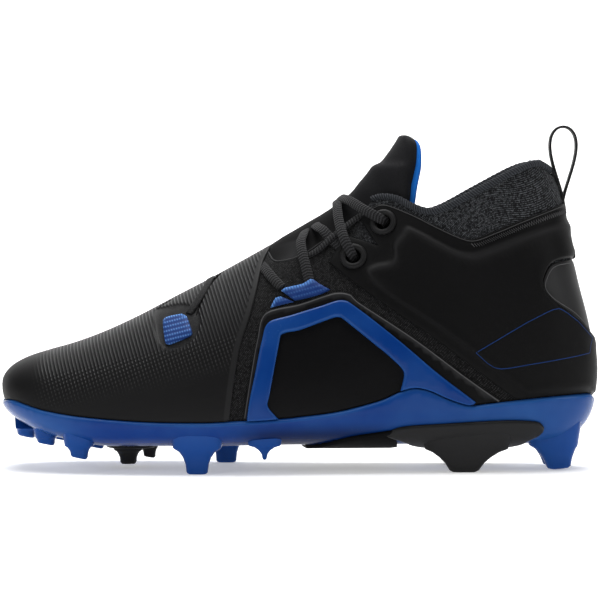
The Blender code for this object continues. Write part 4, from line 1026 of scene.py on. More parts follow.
def panel_loop(medial=False):
    """The panel's closed path on one side."""
    floor = across_sole(above_plate(MEDIAL_EDGE, True)) if medial else above_plate(LATERAL_EDGE)
    first, last = PANEL_FREE[0][0], PANEL_FREE[-1][0]
    floor = floor[(floor[:, 0] > first + 0.05) & (floor[:, 0] < last - 0.05)]
    loop = np.vstack([PANEL_FREE, floor[::-1]])
    return across_sole(loop) if medial else loop


def coated(name, colour, roughness, grain=1400, relief=0.05, shine=0.08):
    """A smooth coated or moulded surface with the finest grain."""
    paint = Paint(name, colour, roughness, shine=shine)
    fine = paint.noise(paint.place(), grain, 3.0, 0.6)
    broad = paint.noise(paint.place(), 40, 2.0)
    lighter = tuple(c * 1.35 for c in colour)
    paint.set("Base Color", paint.mixed(fine * 0.6 + broad * 0.4, colour, lighter))
    paint.set("Roughness", fine * 0.10 + broad * 0.06 + (roughness - 0.08))
    paint.bump(fine, relief)
    return paint


# The panel's raised bead is painted pale: a painted highlight along its edge
PANEL_COAT = coated("coated_panel", (0.0035, 0.0035, 0.004), 0.5)
coat_grain = PANEL_COAT.noise(PANEL_COAT.place(), 1400, 3.0, 0.6)
coat_black = PANEL_COAT.mixed(coat_grain, (0.0012, 0.0012, 0.0015), (0.003, 0.003, 0.0034))
bead_highlight = PANEL_COAT.stored("bead") * 0.8
PANEL_COAT.set("Base Color", PANEL_COAT.mixed(bead_highlight, coat_black, (0.110, 0.110, 0.112)))
for side, medial in (("lateral", False), ("medial", True)):
    loop = panel_loop(medial)
    bead_lines = [shrink(flat(loop), d * MM) for d in (0.5, 0.8, 1.1)]
    panel = cut_piece("coated_panel_" + side, loop, panel_level, ON_UPPER, (), bead_lines,
                      0.4 * MM, marks={"bead": bead})
    dress(panel, PANEL_COAT, "midfoot_panel_" + side, "midfoot_panel_" + side)


# %% The glossy cage
def glossy(name, deep, pale, arch=0.0):
    """Glossy moulded plastic, painted paler at its edges as a painted highlight. With arch set, as
    for the plate, the toe and heel get a painted reflection and the middle gets painted shade under
    the arch.
    """
    paint = Paint(name, deep, 0.26, shine=0.10, Coat_Weight=0.03, Coat_Roughness=0.12)
    cloud = paint.noise(paint.place(), 28, 3.0, 0.55)
    fine = paint.noise(paint.place(), 900, 2.0)
    # Paler near every edge: a painted highlight
    edge = 1 - paint.stored("depth").between(0.0002, 0.0011)
    x, _, z = paint.split(paint.place())
    # Paler towards the toe and the heel when arch is set: a painted reflection
    ends = (x.between(0.030, 0.100) + x.between(-0.090, -0.125)) * (0.55 if arch else 0)
    share = (cloud.between(0.35, 0.75) * 0.35 + edge * 0.55 + ends).clamped()
    # Darker low in the middle when arch is set: painted shade under the arch
    under = x.between(-0.040, -0.010) * x.between(0.055, 0.030) * z.between(0.027, 0.018) * arch
    colour = paint.mixed(share, deep, pale)
    paint.set("Base Color", paint.mixed(under, colour, tuple(c * 0.25 for c in deep)))
    paint.set("Roughness", 0.20 + fine * 0.06 + cloud * 0.05)
    paint.bump(cloud * 0.8 + fine * 0.02, 0.25)
    return paint


CAGE_BLUE = glossy("cage_blue", (0.0020, 0.029, 0.160), (0.014, 0.068, 0.240))
cage = cut_piece("glossy_cage", lay(CAGE, closed=True), PANEL_TOP + CAGE_THICKNESS + 0.2 * MM,
                 PANEL_TOP + 0.05 * MM, rounding=1.0 * MM, square=0.3)
dress(cage, CAGE_BLUE, "cage_frame", "cage_frame")

# %% [markdown]
# ## The quarter shell
# A matte moulded shell wraps the heel and reaches forward as a wing on each side, which
# carries the eyelets. It is one skin at two levels: a thin border that is sewn down and
# a raised, padded body. The step between them is a soft slope, and a second outline is
# used to lift the level across it.

# %% Quarter outlines
QUARTER_TOP = (
    (0.612, 0.916, HARD), (0.636, 0.936), (0.679, 0.889), (0.724, 0.818), (0.760, 0.765),
    (0.782, 0.747), (0.813, 0.761), (0.858, 0.788), (0.905, 0.822), (0.935, 0.845, HARD),
)
QUARTER_FRONT = (
    (0.851, 0.158, HARD), (0.800, 0.246), (0.718, 0.400), (0.663, 0.499), (0.619, 0.578),
    (0.574, 0.659), (0.548, 0.709, HARD), (0.568, 0.784), (0.582, 0.811, HARD),
    (0.627, 0.775, HARD), (0.600, 0.885), (0.612, 0.916, HARD),
)
BODY_TOP = (
    (0.662, 0.826), (0.674, 0.849), (0.701, 0.815), (0.729, 0.768), (0.756, 0.728), (0.778, 0.712),
    (0.796, 0.717), (0.858, 0.752), (0.903, 0.783), (0.939, 0.796, HARD),
)
BODY_FRONT = (
    (0.868, 0.160, HARD), (0.806, 0.275), (0.724, 0.430), (0.663, 0.536), (0.635, 0.586),
    (0.616, 0.625), (0.604, 0.681), (0.620, 0.709), (0.643, 0.719), (0.650, 0.742), (0.650, 0.789),
    (0.662, 0.826, HARD),
)
HEEL_PANEL = (
    (0.948, 0.646), (0.916, 0.634), (0.903, 0.605), (0.897, 0.553), (0.914, 0.500), (0.952, 0.443),
    (0.981, 0.375),
)


def round_heel(top, front):
    """A closed path round the heel from one side's top and front outlines."""
    top_path, front_path = lay(top), lay(front)
    floor = above_plate(LATERAL_EDGE)
    floor = floor[floor[:, 0] > front_path[0][0] + 0.05]
    half = np.vstack([floor[::-1], front_path[:-1], top_path])
    half = half[half[:, 1] < 0.998]
    low, high = [[floor[-1][0] + 0.03, 1]], [[top_path[-1][0], 1]]
    return np.vstack([low, half, high, across_sole(half)[::-1]])


panel_half = lay(HEEL_PANEL)
panel_half = panel_half[panel_half[:, 1] < 0.99]
heel_loop = np.vstack([[[panel_half[0][0], 1]], panel_half, [[panel_half[-1][0], 1]],
                       across_sole(panel_half)[::-1]])
body_flat = shrink(flat(round_heel(BODY_TOP, BODY_FRONT)), 0.3 * MM)
heel_flat = flat(heel_loop)
heel_gap = shrink(heel_flat, -0.5 * MM)
# A lip is rolled round the heel panel, so the shell swells beside it
HEEL_LIP, LIP_HEIGHT = 4.5 * MM, 0.55 * MM
CREST_WIDTH, CREST_HEIGHT = 1.1 * MM, 0.35 * MM


def body_depth(u, w):
    """How far inside the raised body's outline a place lies."""
    points = flat_of(u, w)
    return np.where(inside(points, body_flat), away_from(points, body_flat), 0)


def body_crest(u, w):
    """1 along the top of the body's slope."""
    deep = body_depth(u, w)
    return np.exp(-((deep - BODY_STEP) / CREST_WIDTH) ** 2) * (deep > 0)


def quarter_level(u, w):
    """The shell's level: border, slope and body, and the lip round the heel panel."""
    raised = (QUARTER_BODY - QUARTER_BORDER) * eased(body_depth(u, w) / BODY_STEP)
    away = away_from(flat_of(u, w), heel_gap)
    lip = np.exp(-((away - HEEL_LIP * 0.4) / (HEEL_LIP * 0.45)) ** 2)
    return QUARTER_BORDER + raised + CREST_HEIGHT * body_crest(u, w) + LIP_HEIGHT * lip


quarter_holes = [unflat(heel_gap)]
for place in EYELET_PLACES.values():
    quarter_holes += [circle(place, EYELET_HOLE), circle(across_sole(place), EYELET_HOLE)]
step_lines = [shrink(body_flat, d * BODY_STEP) for d in (0, 0.25, 0.5, 0.75, 1.0, 1.6)]
step_lines += [shrink(heel_gap, -d * HEEL_LIP) for d in (0.2, 0.4, 0.7, 1.0)]
quarter_outline = round_heel(QUARTER_TOP, QUARTER_FRONT)
quarter = cut_piece("quarter_shell_skin", quarter_outline, quarter_level, ON_UPPER, quarter_holes,
                    step_lines, 0.6 * MM, marks={"crest": body_crest})
# The body's crest is painted paler on the upper half of the shell: a painted highlight where light
# falls from above
QUARTER_BLACK = coated("quarter_black", (0.0036, 0.0036, 0.0038), 0.50, 1100, 0.06, 0.06)
_, _, shell_z = QUARTER_BLACK.split(QUARTER_BLACK.place())
crest_highlight = QUARTER_BLACK.stored("crest") * shell_z.between(0.085, 0.105) * 0.7
QUARTER_BLACK.set("Base Color", QUARTER_BLACK.mixed(crest_highlight, (0.0042, 0.0042, 0.0044),
                                                    (0.017, 0.017, 0.0175)))
dress(quarter, QUARTER_BLACK, "quarter_shell", "quarter_shell")

# %% [markdown]
# The heel panel is smoother and lies lower than the shell round it. It picks up more
# light, so it is greyer and a little glossier.

# %% Heel panel
heel_panel = cut_piece("heel_insert", heel_loop, ON_UPPER + HEEL_PANEL_THICKNESS, ON_UPPER,
                       rounding=0.4 * MM)
HEEL_GREY = coated("heel_insert", (0.018, 0.018, 0.0185), 0.42, 1600, 0.03)
dress(heel_panel, HEEL_GREY, "heel_panel", "heel_panel")


# %% [markdown]
# ## Tongue and lining
# The tongue is neoprene foam between two cloths: a soft slab that stands up out of the
# throat, with a bright lining behind it.

# %% Tongue
TONGUE_EDGE = (
    (0.431, 0.725, HARD), (0.459, 0.655), (0.500, 0.640), (0.541, 0.645), (0.590, 0.665),
    (0.635, 0.740), (0.662, 0.815), (0.675, 0.885), (0.678, 0.931), (0.680, 0.987), (0.684, 1.073),
    (0.683, 1.134), (0.679, 1.178), (0.671, 1.211), (0.664, 1.218, HARD),
)
TONGUE_STEP_Z, TONGUE_STEP_BACK, TONGUE_STEP_TALL = 0.1492, 2.7 * MM, 5 * MM
TONGUE_TUCK = INSIDE_UPPER - 0.5 * MM
TONGUE_UNDER = TONGUE_TUCK - TONGUE_THICKNESS
# How far the tongue stands off the last at some of its rows, in millimetres
CROWN_ROWS = (11.3, 12.0, 13.5, 15.0, 17.0, 19.5, 22.0)
CROWN = (1.0, 1.8, 1.6, 2.0, 2.6, 2.2, 0.9)


def tongue_level(u, w):
    """The tongue's face: tucked under the throat's edges and full between them."""
    share = eased(1 - np.abs(w) / 0.11) * eased((u - 10.9) / 0.7)
    body = np.clip(1 - (np.abs(w) / 0.30) ** 2, 0, 1)
    free = np.clip((u - 18.0) / 3.0, 0, 1)
    high = eased((on_form(u, w)[:, 2] - TONGUE_STEP_Z) / TONGUE_STEP_TALL)
    full = np.interp(u, CROWN_ROWS, CROWN) * MM - TONGUE_STEP_BACK * high
    return TONGUE_TUCK * (1 - share) * (1 - free) + full * np.maximum(share, body * free) - FIT_GAP


# The face is narrower than the lining towards the top, so the lining shows behind it
tongue_side = lay(TONGUE_EDGE)
set_in = np.clip((on_form(tongue_side[:, 0], tongue_side[:, 1])[:, 2] - 0.110) / 0.030, 0, 1)
face_side = tongue_side * np.column_stack([np.ones(len(set_in)), 1 - 0.13 * set_in])
tongue_loop = np.vstack([[[face_side[0][0] - 0.1, 0]], face_side, [[face_side[-1][0] - 0.1, 0]],
                         across_ridge(face_side)[::-1]])
tongue = cut_piece("padded_tongue", tongue_loop, tongue_level, TONGUE_UNDER, rounding=3.0 * MM,
                   square=0.3)


def neoprene():
    """Fine jersey over foam: almost smooth, with a soft sheen."""
    paint = Paint("neoprene", (0.010, 0.010, 0.011), 0.75, shine=0.10, Sheen_Weight=0.03,
                  Sheen_Roughness=0.4)
    place = paint.place()
    jersey = paint.specks(place, 1700)
    cloud = paint.noise(place, 60, 2.0)
    share = (jersey.between(0.1, 0.8) * 0.5 + cloud * 0.5).clamped()
    x, _, z = paint.split(place)
    cloth = paint.mixed(share, (0.0050, 0.0050, 0.0058), (0.0095, 0.0095, 0.0108))
    pad = x.between(-0.014, 0.001) * x.between(0.006, 0.002)
    pad = pad * (x * 0.286 + 0.1146 - z).between(-0.0008, 0.0012)
    # The front part of the tongue is painted darker: painted shade under the laces
    crest = x.between(0.022, 0.014)
    cloth = paint.mixed(crest * 0.8, cloth, (0.0012, 0.0012, 0.0014))
    paint.set("Base Color", paint.mixed(pad * 0.9, cloth, (0.017, 0.017, 0.018)))
    paint.bump(jersey * 0.6 + cloud, 0.10)
    return paint


dress(tongue, neoprene(), "tongue", "tongue")
lining_start = side_place(0.640, 0.870)[0]
lining_side = tongue_side[tongue_side[:, 0] > lining_start]
lining_loop = np.vstack([[[lining_start - 0.3, 0]], lining_side, [[tongue_side[-1][0] + 0.1, 0]],
                         across_ridge(lining_side)[::-1]])
LINING_TOP = TONGUE_UNDER - 0.1 * MM
lining = cut_piece("tongue_lining_cloth", lining_loop, LINING_TOP, LINING_TOP - LINING_THICKNESS,
                   rounding=0.6 * MM)
LINING_BLUE = coated("lining_blue", (0.008, 0.110, 0.420), 0.6, 1500, 0.10)
dress(lining, LINING_BLUE, "tongue_lining", "tongue_lining")


# %% [markdown]
# ## Swept pieces
# The collar's roll, the laces, the webbing and the sewing threads are all one section
# swept along a path that lies on the shoe. The section's corners are given across the
# path and off the surface.

# %% Sweep a section
def swept(name, centres, normals, section_at, closed=False):
    """A bar along a path. Its section is a list of corners, or a function of the distance run."""
    centres, normals = np.asarray(centres, float), np.asarray(normals, float)
    if closed:
        tangents = unit(np.roll(centres, -1, axis=0) - np.roll(centres, 1, axis=0))
    else:
        tangents = unit(np.gradient(centres, axis=0))
    sideways = unit(np.cross(tangents, normals))
    normals = np.cross(sideways, tangents)
    run = run_along(centres)
    rings = []
    for k, centre in enumerate(centres):
        shape = np.array(section_at(run[k]) if callable(section_at) else section_at)
        rings.append(centre + shape[:, :1] * sideways[k] + shape[:, 1:] * normals[k])
    corners, count = len(rings[0]), len(rings)
    around = run_along(rings[0])
    faces, laid = [], []
    step = run[-1] / max(1, count - 1)
    for k in range(count if closed else count - 1):
        for m in range(corners):
            n, after = (m + 1) % corners, (k + 1) % count
            here, there = k * corners, after * corners
            faces.append((here + m, here + n, there + n, there + m))
            edge = around[n] if n else around[m] + np.linalg.norm(rings[0][0] - rings[0][m])
            laid += [(run[k], around[m]), (run[k], edge), (run[k] + step, edge),
                     (run[k] + step, around[m])]
    if not closed:
        ends = range(corners)
        faces += [tuple(ends)[::-1], tuple((count - 1) * corners + m for m in ends)]
        laid += [(0, around[m]) for m in reversed(ends)] + [(run[-1], around[m]) for m in ends]
    verts = np.vstack(rings)
    return mesh_object(name, verts, *faced_out(verts, faces, laid))


def oval(width, thickness, corners=12, square=3.0):
    """A flat section with full, round edges."""
    turn = np.arange(corners) * TURN / corners
    c, s = np.cos(turn), np.sin(turn)
    return np.column_stack([np.sign(c) * np.abs(c) ** (2 / square) * width / 2,
                            np.sign(s) * np.abs(s) ** (2 / square) * thickness / 2])


def along_path(path, step):
    """A smooth path of rows, rounds and levels, read at even steps."""
    table = np.asarray(path, float)
    fine = smooth_rows(table, np.linspace(0, len(table) - 1, 40 * len(table)))
    points = on_form(fine[:, 0], fine[:, 1], fine[:, 2])
    run = run_along(points)
    u, w, level = read_at(fine, run, np.linspace(0, run[-1], max(2, round(run[-1] / step)) + 1)).T
    return on_form(u, w, level), off_form(u, w)


# %% [markdown]
# ## The collar's roll
# The rim is bound with an overcast cord of the same yarn. Its lay shows as slanted
# lobes, so the section has lobes and turns as it goes.

# %% Collar roll
rim = lay(COLLAR_RIM, raised=-COLLAR_ROLL / 2)[4:]
rim = rim[rim[:, 1] < 0.985]
roll_path = np.vstack([rim, [[rim[-1][0], 1]], across_sole(rim)[::-1]])[::3]
roll_path = np.column_stack([roll_path, np.full(len(roll_path), 0.3 * MM - UPPER_WALL / 2)])
roll_centres, roll_normals = along_path(roll_path, 0.55 * MM)
LOBE_SWELL, LOBE_RUN = 0.055, 0.42 * MM


def roll_section(run):
    """A round section whose radius swells with each turn of the overcast yarn."""
    turn = np.arange(16) * TURN / 16
    lobes = 1 + LOBE_SWELL * np.cos(2 * turn + run / LOBE_RUN)
    radius = COLLAR_ROLL / 2 * 1.10 * lobes
    return np.column_stack([np.cos(turn) * radius, np.sin(turn) * radius])


def overcast():
    """Overcast yarn: slanted turns with dark gaps, read from the roll's own UV map."""
    paint = Paint("overcast_yarn", (0.02, 0.021, 0.024), 0.85, shine=0.15)
    along, around = paint.pattern()
    turns = (along + around * 0.45).wave(1.3)
    fine = paint.noise(paint.place(), 1400, 3.0, 0.65)
    share = (turns * 0.65 + fine * 0.55 - 0.1).clamped()
    paint.set("Base Color", paint.mixed(share, (0.004, 0.0045, 0.0055), (0.048, 0.052, 0.060)))
    paint.bump(turns + fine * 0.4, 0.4)
    return paint


roll = swept("collar_roll", roll_centres, roll_normals, roll_section)
dress(roll, overcast(), "collar_binding", "collar_binding")
print("collar roll", len(roll_centres), "rings")

# %% [markdown]
# ## Eyelets
# Each eyelet is a moulded ring. A torus is added, flattened in edit mode, and then
# turned to the wing's surface at its place.

# %% Eyelet rings
RING_MIDDLE, RING_TUBE, RING_FLATNESS = 0.0052, 0.00145, 0.85
RING_SEAT = QUARTER_BORDER + 0.35 * MM


def eyelet(name, place):
    """A flattened ring seated on the shell."""
    bpy.ops.object.select_all(action="DESELECT")
    bpy.ops.mesh.primitive_torus_add(major_segments=48, minor_segments=18, major_radius=RING_MIDDLE,
                                     minor_radius=RING_TUBE)
    ring = bpy.context.object
    ring.name = ring.data.name = name
    bpy.ops.object.mode_set(mode="EDIT")
    bpy.ops.mesh.select_all(action="SELECT")
    bpy.ops.transform.resize(value=(1, 1, RING_FLATNESS))
    bpy.ops.object.mode_set(mode="OBJECT")
    ring.location = on_form(*place, RING_SEAT)
    ring.rotation_euler = Vector(off_form(*place)).to_track_quat("Z", "Y").to_euler()
    bpy.ops.object.transform_apply(location=True, rotation=True, scale=True)
    bpy.ops.object.shade_smooth()
    return ring


RING_BLACK = coated("ring_black", (0.009, 0.009, 0.0093), 0.40, 1300, 0.03)
for name, place in EYELET_PLACES.items():
    for side, turned in OVER_RIDGE:
        slot = "eyelet_%s_%s" % (name, side)
        dress(eyelet("ring_%s_%s" % (name, side), turned(place)), RING_BLACK, slot, slot)
print("four eyelets")

# %% [markdown]
# ## Laces
# One flat braided lace runs through the loops and eyelets. Its strands are swept over
# the tongue in the order in which they are crossed: the two bars that come out of the
# eyelets lie on top, and the two strands under them pass below the tongue's crest. The
# braid is drawn on the UV map of each strand.

# %% Lace routes
LACE_WIDTH, LACE_THICKNESS, NARROW = 0.0050, 0.0017, 0.62
LATERAL, RIDGE, MEDIAL = 1, 0, -1


def route(*stops):
    """A lace route from side-view stops: along, up, side and level in millimetres."""
    path = []
    for along, up, side, level in stops:
        u, w = side_place(along, up)
        path.append((u, 0.0 if side == RIDGE else w * side, level * MM))
    return path


def one_side(side, *stops):
    """A route on one side, from stops of along, up and level."""
    return route(*[(along, up, side, level) for along, up, level in stops])


def over_ridge(*stops):
    """A route up the lateral side, over the ridge at its last stop and down the other side."""
    lateral = [(along, up, LATERAL, level) for along, up, level in stops[:-1]]
    medial = [(along, up, MEDIAL, level) for along, up, level in stops[-2::-1]]
    along, up, level = stops[-1]
    return route(*lateral, (along, up, RIDGE, level), *medial)


LOW_STRAND = ((0.470, 0.612, 0.9), (0.456, 0.645, 1.0), (0.440, 0.690, 0.2), (0.432, 0.715, -1.2))
LACE_ROUTES = {
    "lace_top_bar": over_ridge((0.641, 0.866, -1.5), (0.637, 0.872, 2.0), (0.620, 0.892, 4.4),
                               (0.597, 0.925, 4.0), (0.572, 0.953, 3.3)),
    "lace_low_bar": over_ridge((0.590, 0.728, -1.5), (0.585, 0.742, 2.2), (0.575, 0.790, 4.4),
                               (0.568, 0.862, 3.8), (0.566, 0.937, 3.0)),
    "lace_upright": route((0.516, 0.625, LATERAL, 0.4), (0.511, 0.680, LATERAL, 1.6),
                          (0.506, 0.735, LATERAL, 2.6), (0.504, 0.780, LATERAL, 2.4),
                          (0.507, 0.815, LATERAL, 1.0), (0.508, 0.845, RIDGE, -1.6),
                          (0.507, 0.815, MEDIAL, 1.0), (0.503, 0.780, MEDIAL, 2.0),
                          (0.511, 0.700, MEDIAL, 1.2), (0.516, 0.625, MEDIAL, 0.4)),
    "lace_wide": route((0.516, 0.800, MEDIAL, 1.4), (0.521, 0.864, RIDGE, -1.4),
                       (0.530, 0.846, LATERAL, 1.2), (0.540, 0.828, LATERAL, 2.2),
                       (0.552, 0.800, LATERAL, 1.2), (0.570, 0.765, LATERAL, 0.2),
                       (0.580, 0.745, LATERAL, -1.0)),
    "lace_narrow": one_side(LATERAL, (0.512, 0.735, 0.2), (0.530, 0.755, 1.0), (0.552, 0.795, 2.2),
                            (0.574, 0.838, 2.2), (0.594, 0.878, 1.6), (0.606, 0.900, 0.4)),
    "lace_low_strand": one_side(LATERAL, *LOW_STRAND),
    "lace_low_strand_medial": one_side(MEDIAL, *LOW_STRAND),
}


def braided(name, dark, light):
    """A herringbone braid along a strand's own UV map."""
    paint = Paint(name, dark, 0.8, shine=0.15, Sheen_Weight=0.05, Sheen_Roughness=0.5)
    along, around = paint.pattern()
    stitch = (along + (around - 2.6).size() * 0.30).wave(1.5).math("POWER", 1.6)
    wales = around.wave(0.9)
    fine = paint.noise(paint.place(), 2200, 2.0)
    height = stitch * 0.65 + wales * 0.2 + fine * 0.25
    paint.set("Base Color", paint.mixed((height - 0.20).clamped(), dark, light))
    paint.bump(height, 0.34)
    return paint


LACE_BRAID = braided("lace_braid", (0.0022, 0.0022, 0.0026), (0.036, 0.036, 0.039))
for name, path in LACE_ROUTES.items():
    centres, normals = along_path(path, 0.9 * MM)
    wide = LACE_WIDTH * (NARROW if name == "lace_narrow" else 1)
    strand = swept(name, centres, normals, oval(wide, LACE_THICKNESS, 16, 2.6))
    dress(strand, LACE_BRAID, "laces")
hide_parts("laces")
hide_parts("lace_low")

# %% [markdown]
# The forefoot lace is a short flat strip that comes out beside the webbing loop and
# lies along the slot, over the ridge to the other side.

# %% Forefoot lace
FOREFOOT_ROUTE = over_ridge((0.318, 0.505, 0.9), (0.327, 0.530, 1.5), (0.341, 0.582, 1.4),
                            (0.350, 0.622, 1.2), (0.352, 0.640, 1.1))
STRIP_WIDTH, STRIP_THICKNESS = 0.0044, 0.0009
centres, normals = along_path(FOREFOOT_ROUTE, 0.9 * MM)
forefoot_lace = swept("forefoot_strip", centres, normals,
                      oval(STRIP_WIDTH, STRIP_THICKNESS, 12, 3.0))
STRIP_KNIT = knit("strip_knit", (0.003, 0.003, 0.0034), (0.020, 0.020, 0.021), 1300, 700, 0.15)
dress(forefoot_lace, STRIP_KNIT, "forefoot_lace", "forefoot_lace")

# %% [markdown]
# ## Sewing and edges
# The shell's top edge is sewn to the collar with a small zigzag. A fine pale rim along it is
# a painted highlight. A piping ends the throat, a rim runs round the heel panel, and a thin
# line is printed at the heel. All are thin threads swept a little inside the edges.

# %% Threads
def thread(name, path, level, width, slot, paint, proud):
    """A thin flat thread along a path of rows and rounds, at a level off the last."""
    u, w = np.asarray(path).T
    levels = level(u, w) if callable(level) else np.full(len(u), level)
    centres = on_form(u, w, levels + proud / 2 - 0.05 * MM)
    return dress(swept(name, centres, off_form(u, w), oval(width, proud, 8, 2.2)), paint, slot)


def to_the_left(line):
    """Unit steps sideways from a flat line."""
    tangent = unit(np.gradient(line, axis=0))
    return np.column_stack([-tangent[:, 1], tangent[:, 0]])


def inset(line, loop, distance):
    """A flat line moved sideways by a distance into a flat loop."""
    sideways, middle = to_the_left(line), len(line) // 2
    probe = line[middle] + sideways[middle] * MM
    return line + sideways * distance * (1 if inside(probe[None], loop)[0] else -1)


def zigzag(line, width, step):
    """A zigzag about a flat line."""
    run = run_along(line)
    points = read_at(line, run, np.linspace(0, run[-1], max(4, 2 * round(run[-1] / step)) + 1))
    swing = np.where(np.arange(len(points)) % 2, 0.5, -0.5) * width
    return points + to_the_left(points) * swing[:, None]


# %% Sew both sides
THREAD_GREY = coated("thread_grey", (0.070, 0.070, 0.072), 0.7)
# A pale grey for a painted highlight along the shell's top edge
SHELL_EDGE_HIGHLIGHT = coated("edge_highlight_grey", (0.045, 0.045, 0.046), 0.6)
PIPING_BLACK = coated("piping_black", (0.020, 0.020, 0.021), 0.5)
PRINT_BLUE = coated("print_blue", (0.004, 0.022, 0.095), 0.45)
HEEL_LINE = (
    (0.787, 0.331, HARD), (0.871, 0.429, HARD), (0.912, 0.470), (0.927, 0.464),
    (0.951, 0.423, HARD), (0.976, 0.362, HARD), (0.972, 0.312, HARD), (0.882, 0.281, HARD),
    (0.827, 0.268), (0.806, 0.290, HARD),
)
shell_flat, shell_top = flat(quarter_outline), flat(lay(QUARTER_TOP))
lowest = np.argmin(on_form(*unflat(shell_top).T)[:, 2])
zigzag_line = zigzag(inset(shell_top[lowest:], shell_flat, 2.0 * MM), 1.1 * MM, 1.7 * MM)
edge_line = shell_top[2:-1]
edge_spacing = np.linalg.norm(np.gradient(edge_line, axis=0), axis=1, keepdims=True)
edge_line = inset(edge_line, shell_flat, 0.4 * edge_spacing)
rim_line = inset(flat(panel_half)[3:-3], heel_flat, 0.9 * MM)
heel_line = lay(HEEL_LINE, closed=True)
# name, path, how it crosses to the medial side, level, width, slot, finish, thickness
SEWING = (
    ("shell_zigzag", unflat(zigzag_line), across_sole, quarter_level, 0.38 * MM, "quarter_shell",
     THREAD_GREY, 0.55 * MM),
    # The pale rim along the shell's top edge is a painted highlight
    ("shell_edge", unflat(edge_line), across_sole, quarter_level, 0.35 * MM, "quarter_shell",
     SHELL_EDGE_HIGHLIGHT, 0.30 * MM),
    ("throat_piping", lay(THROAT_EDGE[:4]), across_ridge, -0.2 * MM, 0.8 * MM, "upper",
     PIPING_BLACK, 0.6 * MM),
    ("heel_rim", unflat(rim_line), across_sole, ON_UPPER + HEEL_PANEL_THICKNESS, 0.45 * MM,
     "heel_panel", THREAD_GREY, 0.35 * MM),
    ("heel_line", np.vstack([heel_line, heel_line[:1]]), across_sole, quarter_level, 0.42 * MM,
     "quarter_shell", PRINT_BLUE, 0.16 * MM),
)
for name, path, crossed, *words in SEWING:
    thread(name + "_lateral", path, *words)
    thread(name + "_medial", crossed(path), *words)
print("threads", 2 * len(SEWING))

# %% [markdown]
# ## Webbing loops
# The loops that hold the laces are woven tape: bright, with rows of stitches, and a painted
# highlight along the fold. They are cut as patches over the panel and the skin, swollen in
# the middle, because the tape folds over a lace there.

# %% Webbing
FOREFOOT_LOOP = (
    (0.276, 0.471), (0.282, 0.484), (0.308, 0.499), (0.315, 0.492), (0.325, 0.430), (0.322, 0.420),
    (0.287, 0.385), (0.281, 0.390),
)
MIDFOOT_LOOP = (
    (0.470, 0.598, HARD), (0.476, 0.608), (0.504, 0.624), (0.519, 0.644), (0.530, 0.628),
    (0.549, 0.603, HARD), (0.530, 0.582), (0.492, 0.560, HARD),
)
LOW_LOOP = ((0.452, 0.533, HARD), (0.460, 0.570), (0.468, 0.576), (0.490, 0.556, HARD))


def folded_web(name, row, stitch, weave, lean):
    """Bright tape: rows of pale stitches, with a painted highlight where it folds over the lace."""
    paint = Paint(name, (0.001, 0.020, 0.130), 0.5, shine=0.10)
    x, _, z = paint.split(paint.place())
    rows = (z - x * 0.26).wave(row * MM)
    dots = (x + z * lean).wave(stitch * MM)
    fine = paint.noise(paint.place(), 1500, 2.0)
    fold = paint.stored("fold")
    woven = rows.math("POWER", 2.0) * (dots * 0.8 + 0.2)
    # The fold is painted paler: a painted highlight where the tape curves over the lace
    share = (woven * weave + fold * (dots * 0.55 + 0.35) + fine * 0.10).clamped()
    paint.set("Base Color", paint.mixed(share, (0.0005, 0.012, 0.095), (0.13, 0.33, 0.78)))
    paint.bump(woven * weave + dots * fold + fine * 0.1, 0.45)
    return paint


WEB_FOREFOOT = folded_web("web_forefoot", 2.15, 1.3, 0.45, 0.26)
WEB_MIDFOOT = folded_web("web_midfoot", 2.4, 1.5, 0.14, 0.45)
TAPE_SHOULDER, FOLD_WIDTH = 4.0 * MM, 2.0 * MM


def tape_patch(name, outline, base, height, side):
    """A patch of tape that swells from its edge to its middle, with its fold on top."""
    loop = lay(outline, closed=True, step=0.8 * MM)
    loop = loop if side == "lateral" else across_ridge(loop)[::-1]
    loop_flat = flat(loop)
    fold_line = flat(lay(outline[:max(3, len(outline) // 2)]))

    def level(u, w):
        deep = away_from(flat_of(u, w), loop_flat)
        t = np.clip(deep / TAPE_SHOULDER, 0, 1)
        return base + height * (0.55 + 0.45 * np.sqrt(1 - (1 - t) ** 2))

    def fold(u, w):
        away = away_from(flat_of(u, np.abs(w)), fold_line, closed=False)
        return np.clip(1 - away / FOLD_WIDTH, 0, 1)

    lines = [shrink(loop_flat, d * MM) for d in (1.0, 1.8, 2.6)]
    return cut_piece(name, loop, level, base, (), lines, 0.5 * MM, marks={"fold": fold})


# name, outline, base, height, finish, slot, and whether it stands for the solid
TAPES = (
    ("forefoot_tape_", FOREFOOT_LOOP, SKIN_TOP - 0.5 * MM, 1.9 * MM, WEB_FOREFOOT,
     "lace_loop_forefoot_", True),
    ("midfoot_tape_", MIDFOOT_LOOP, ON_UPPER, 2.2 * MM, WEB_MIDFOOT, "lace_loop_midfoot_", True),
    ("low_tape_", LOW_LOOP, ON_UPPER, 1.3 * MM, WEB_MIDFOOT, "lace_loop_midfoot_", False),
)
for side in ("lateral", "medial"):
    for name, outline, base, height, finish, slot, stands_in in TAPES:
        patch = dress(tape_patch(name + side, outline, base, height, side), finish, slot + side)
        if stands_in:
            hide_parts(slot + side)

# %% [markdown]
# ## Pull loop
# A narrow tape is sewn down the back of the collar and stands up as a loop for a
# finger. The loop is a flat strip swept along a teardrop, widest near its top. The tape
# is woven, with cords along it and picks across.

# %% Tab and loop
def webbing(name, dark, light):
    """Woven tape: cords along it, picks across and light specks where they meet."""
    paint = Paint(name, dark, 0.55, shine=0.15)
    along, around = paint.pattern()
    cords = (around + along * 0.28).wave(1.15)
    picks = (along - around * 0.28).wave(0.85)
    height = cords * 0.65 + cords * picks * 0.5
    paint.set("Base Color", paint.mixed(height.between(0.35, 1.1), dark, light))
    paint.bump(height, 0.4)
    return paint


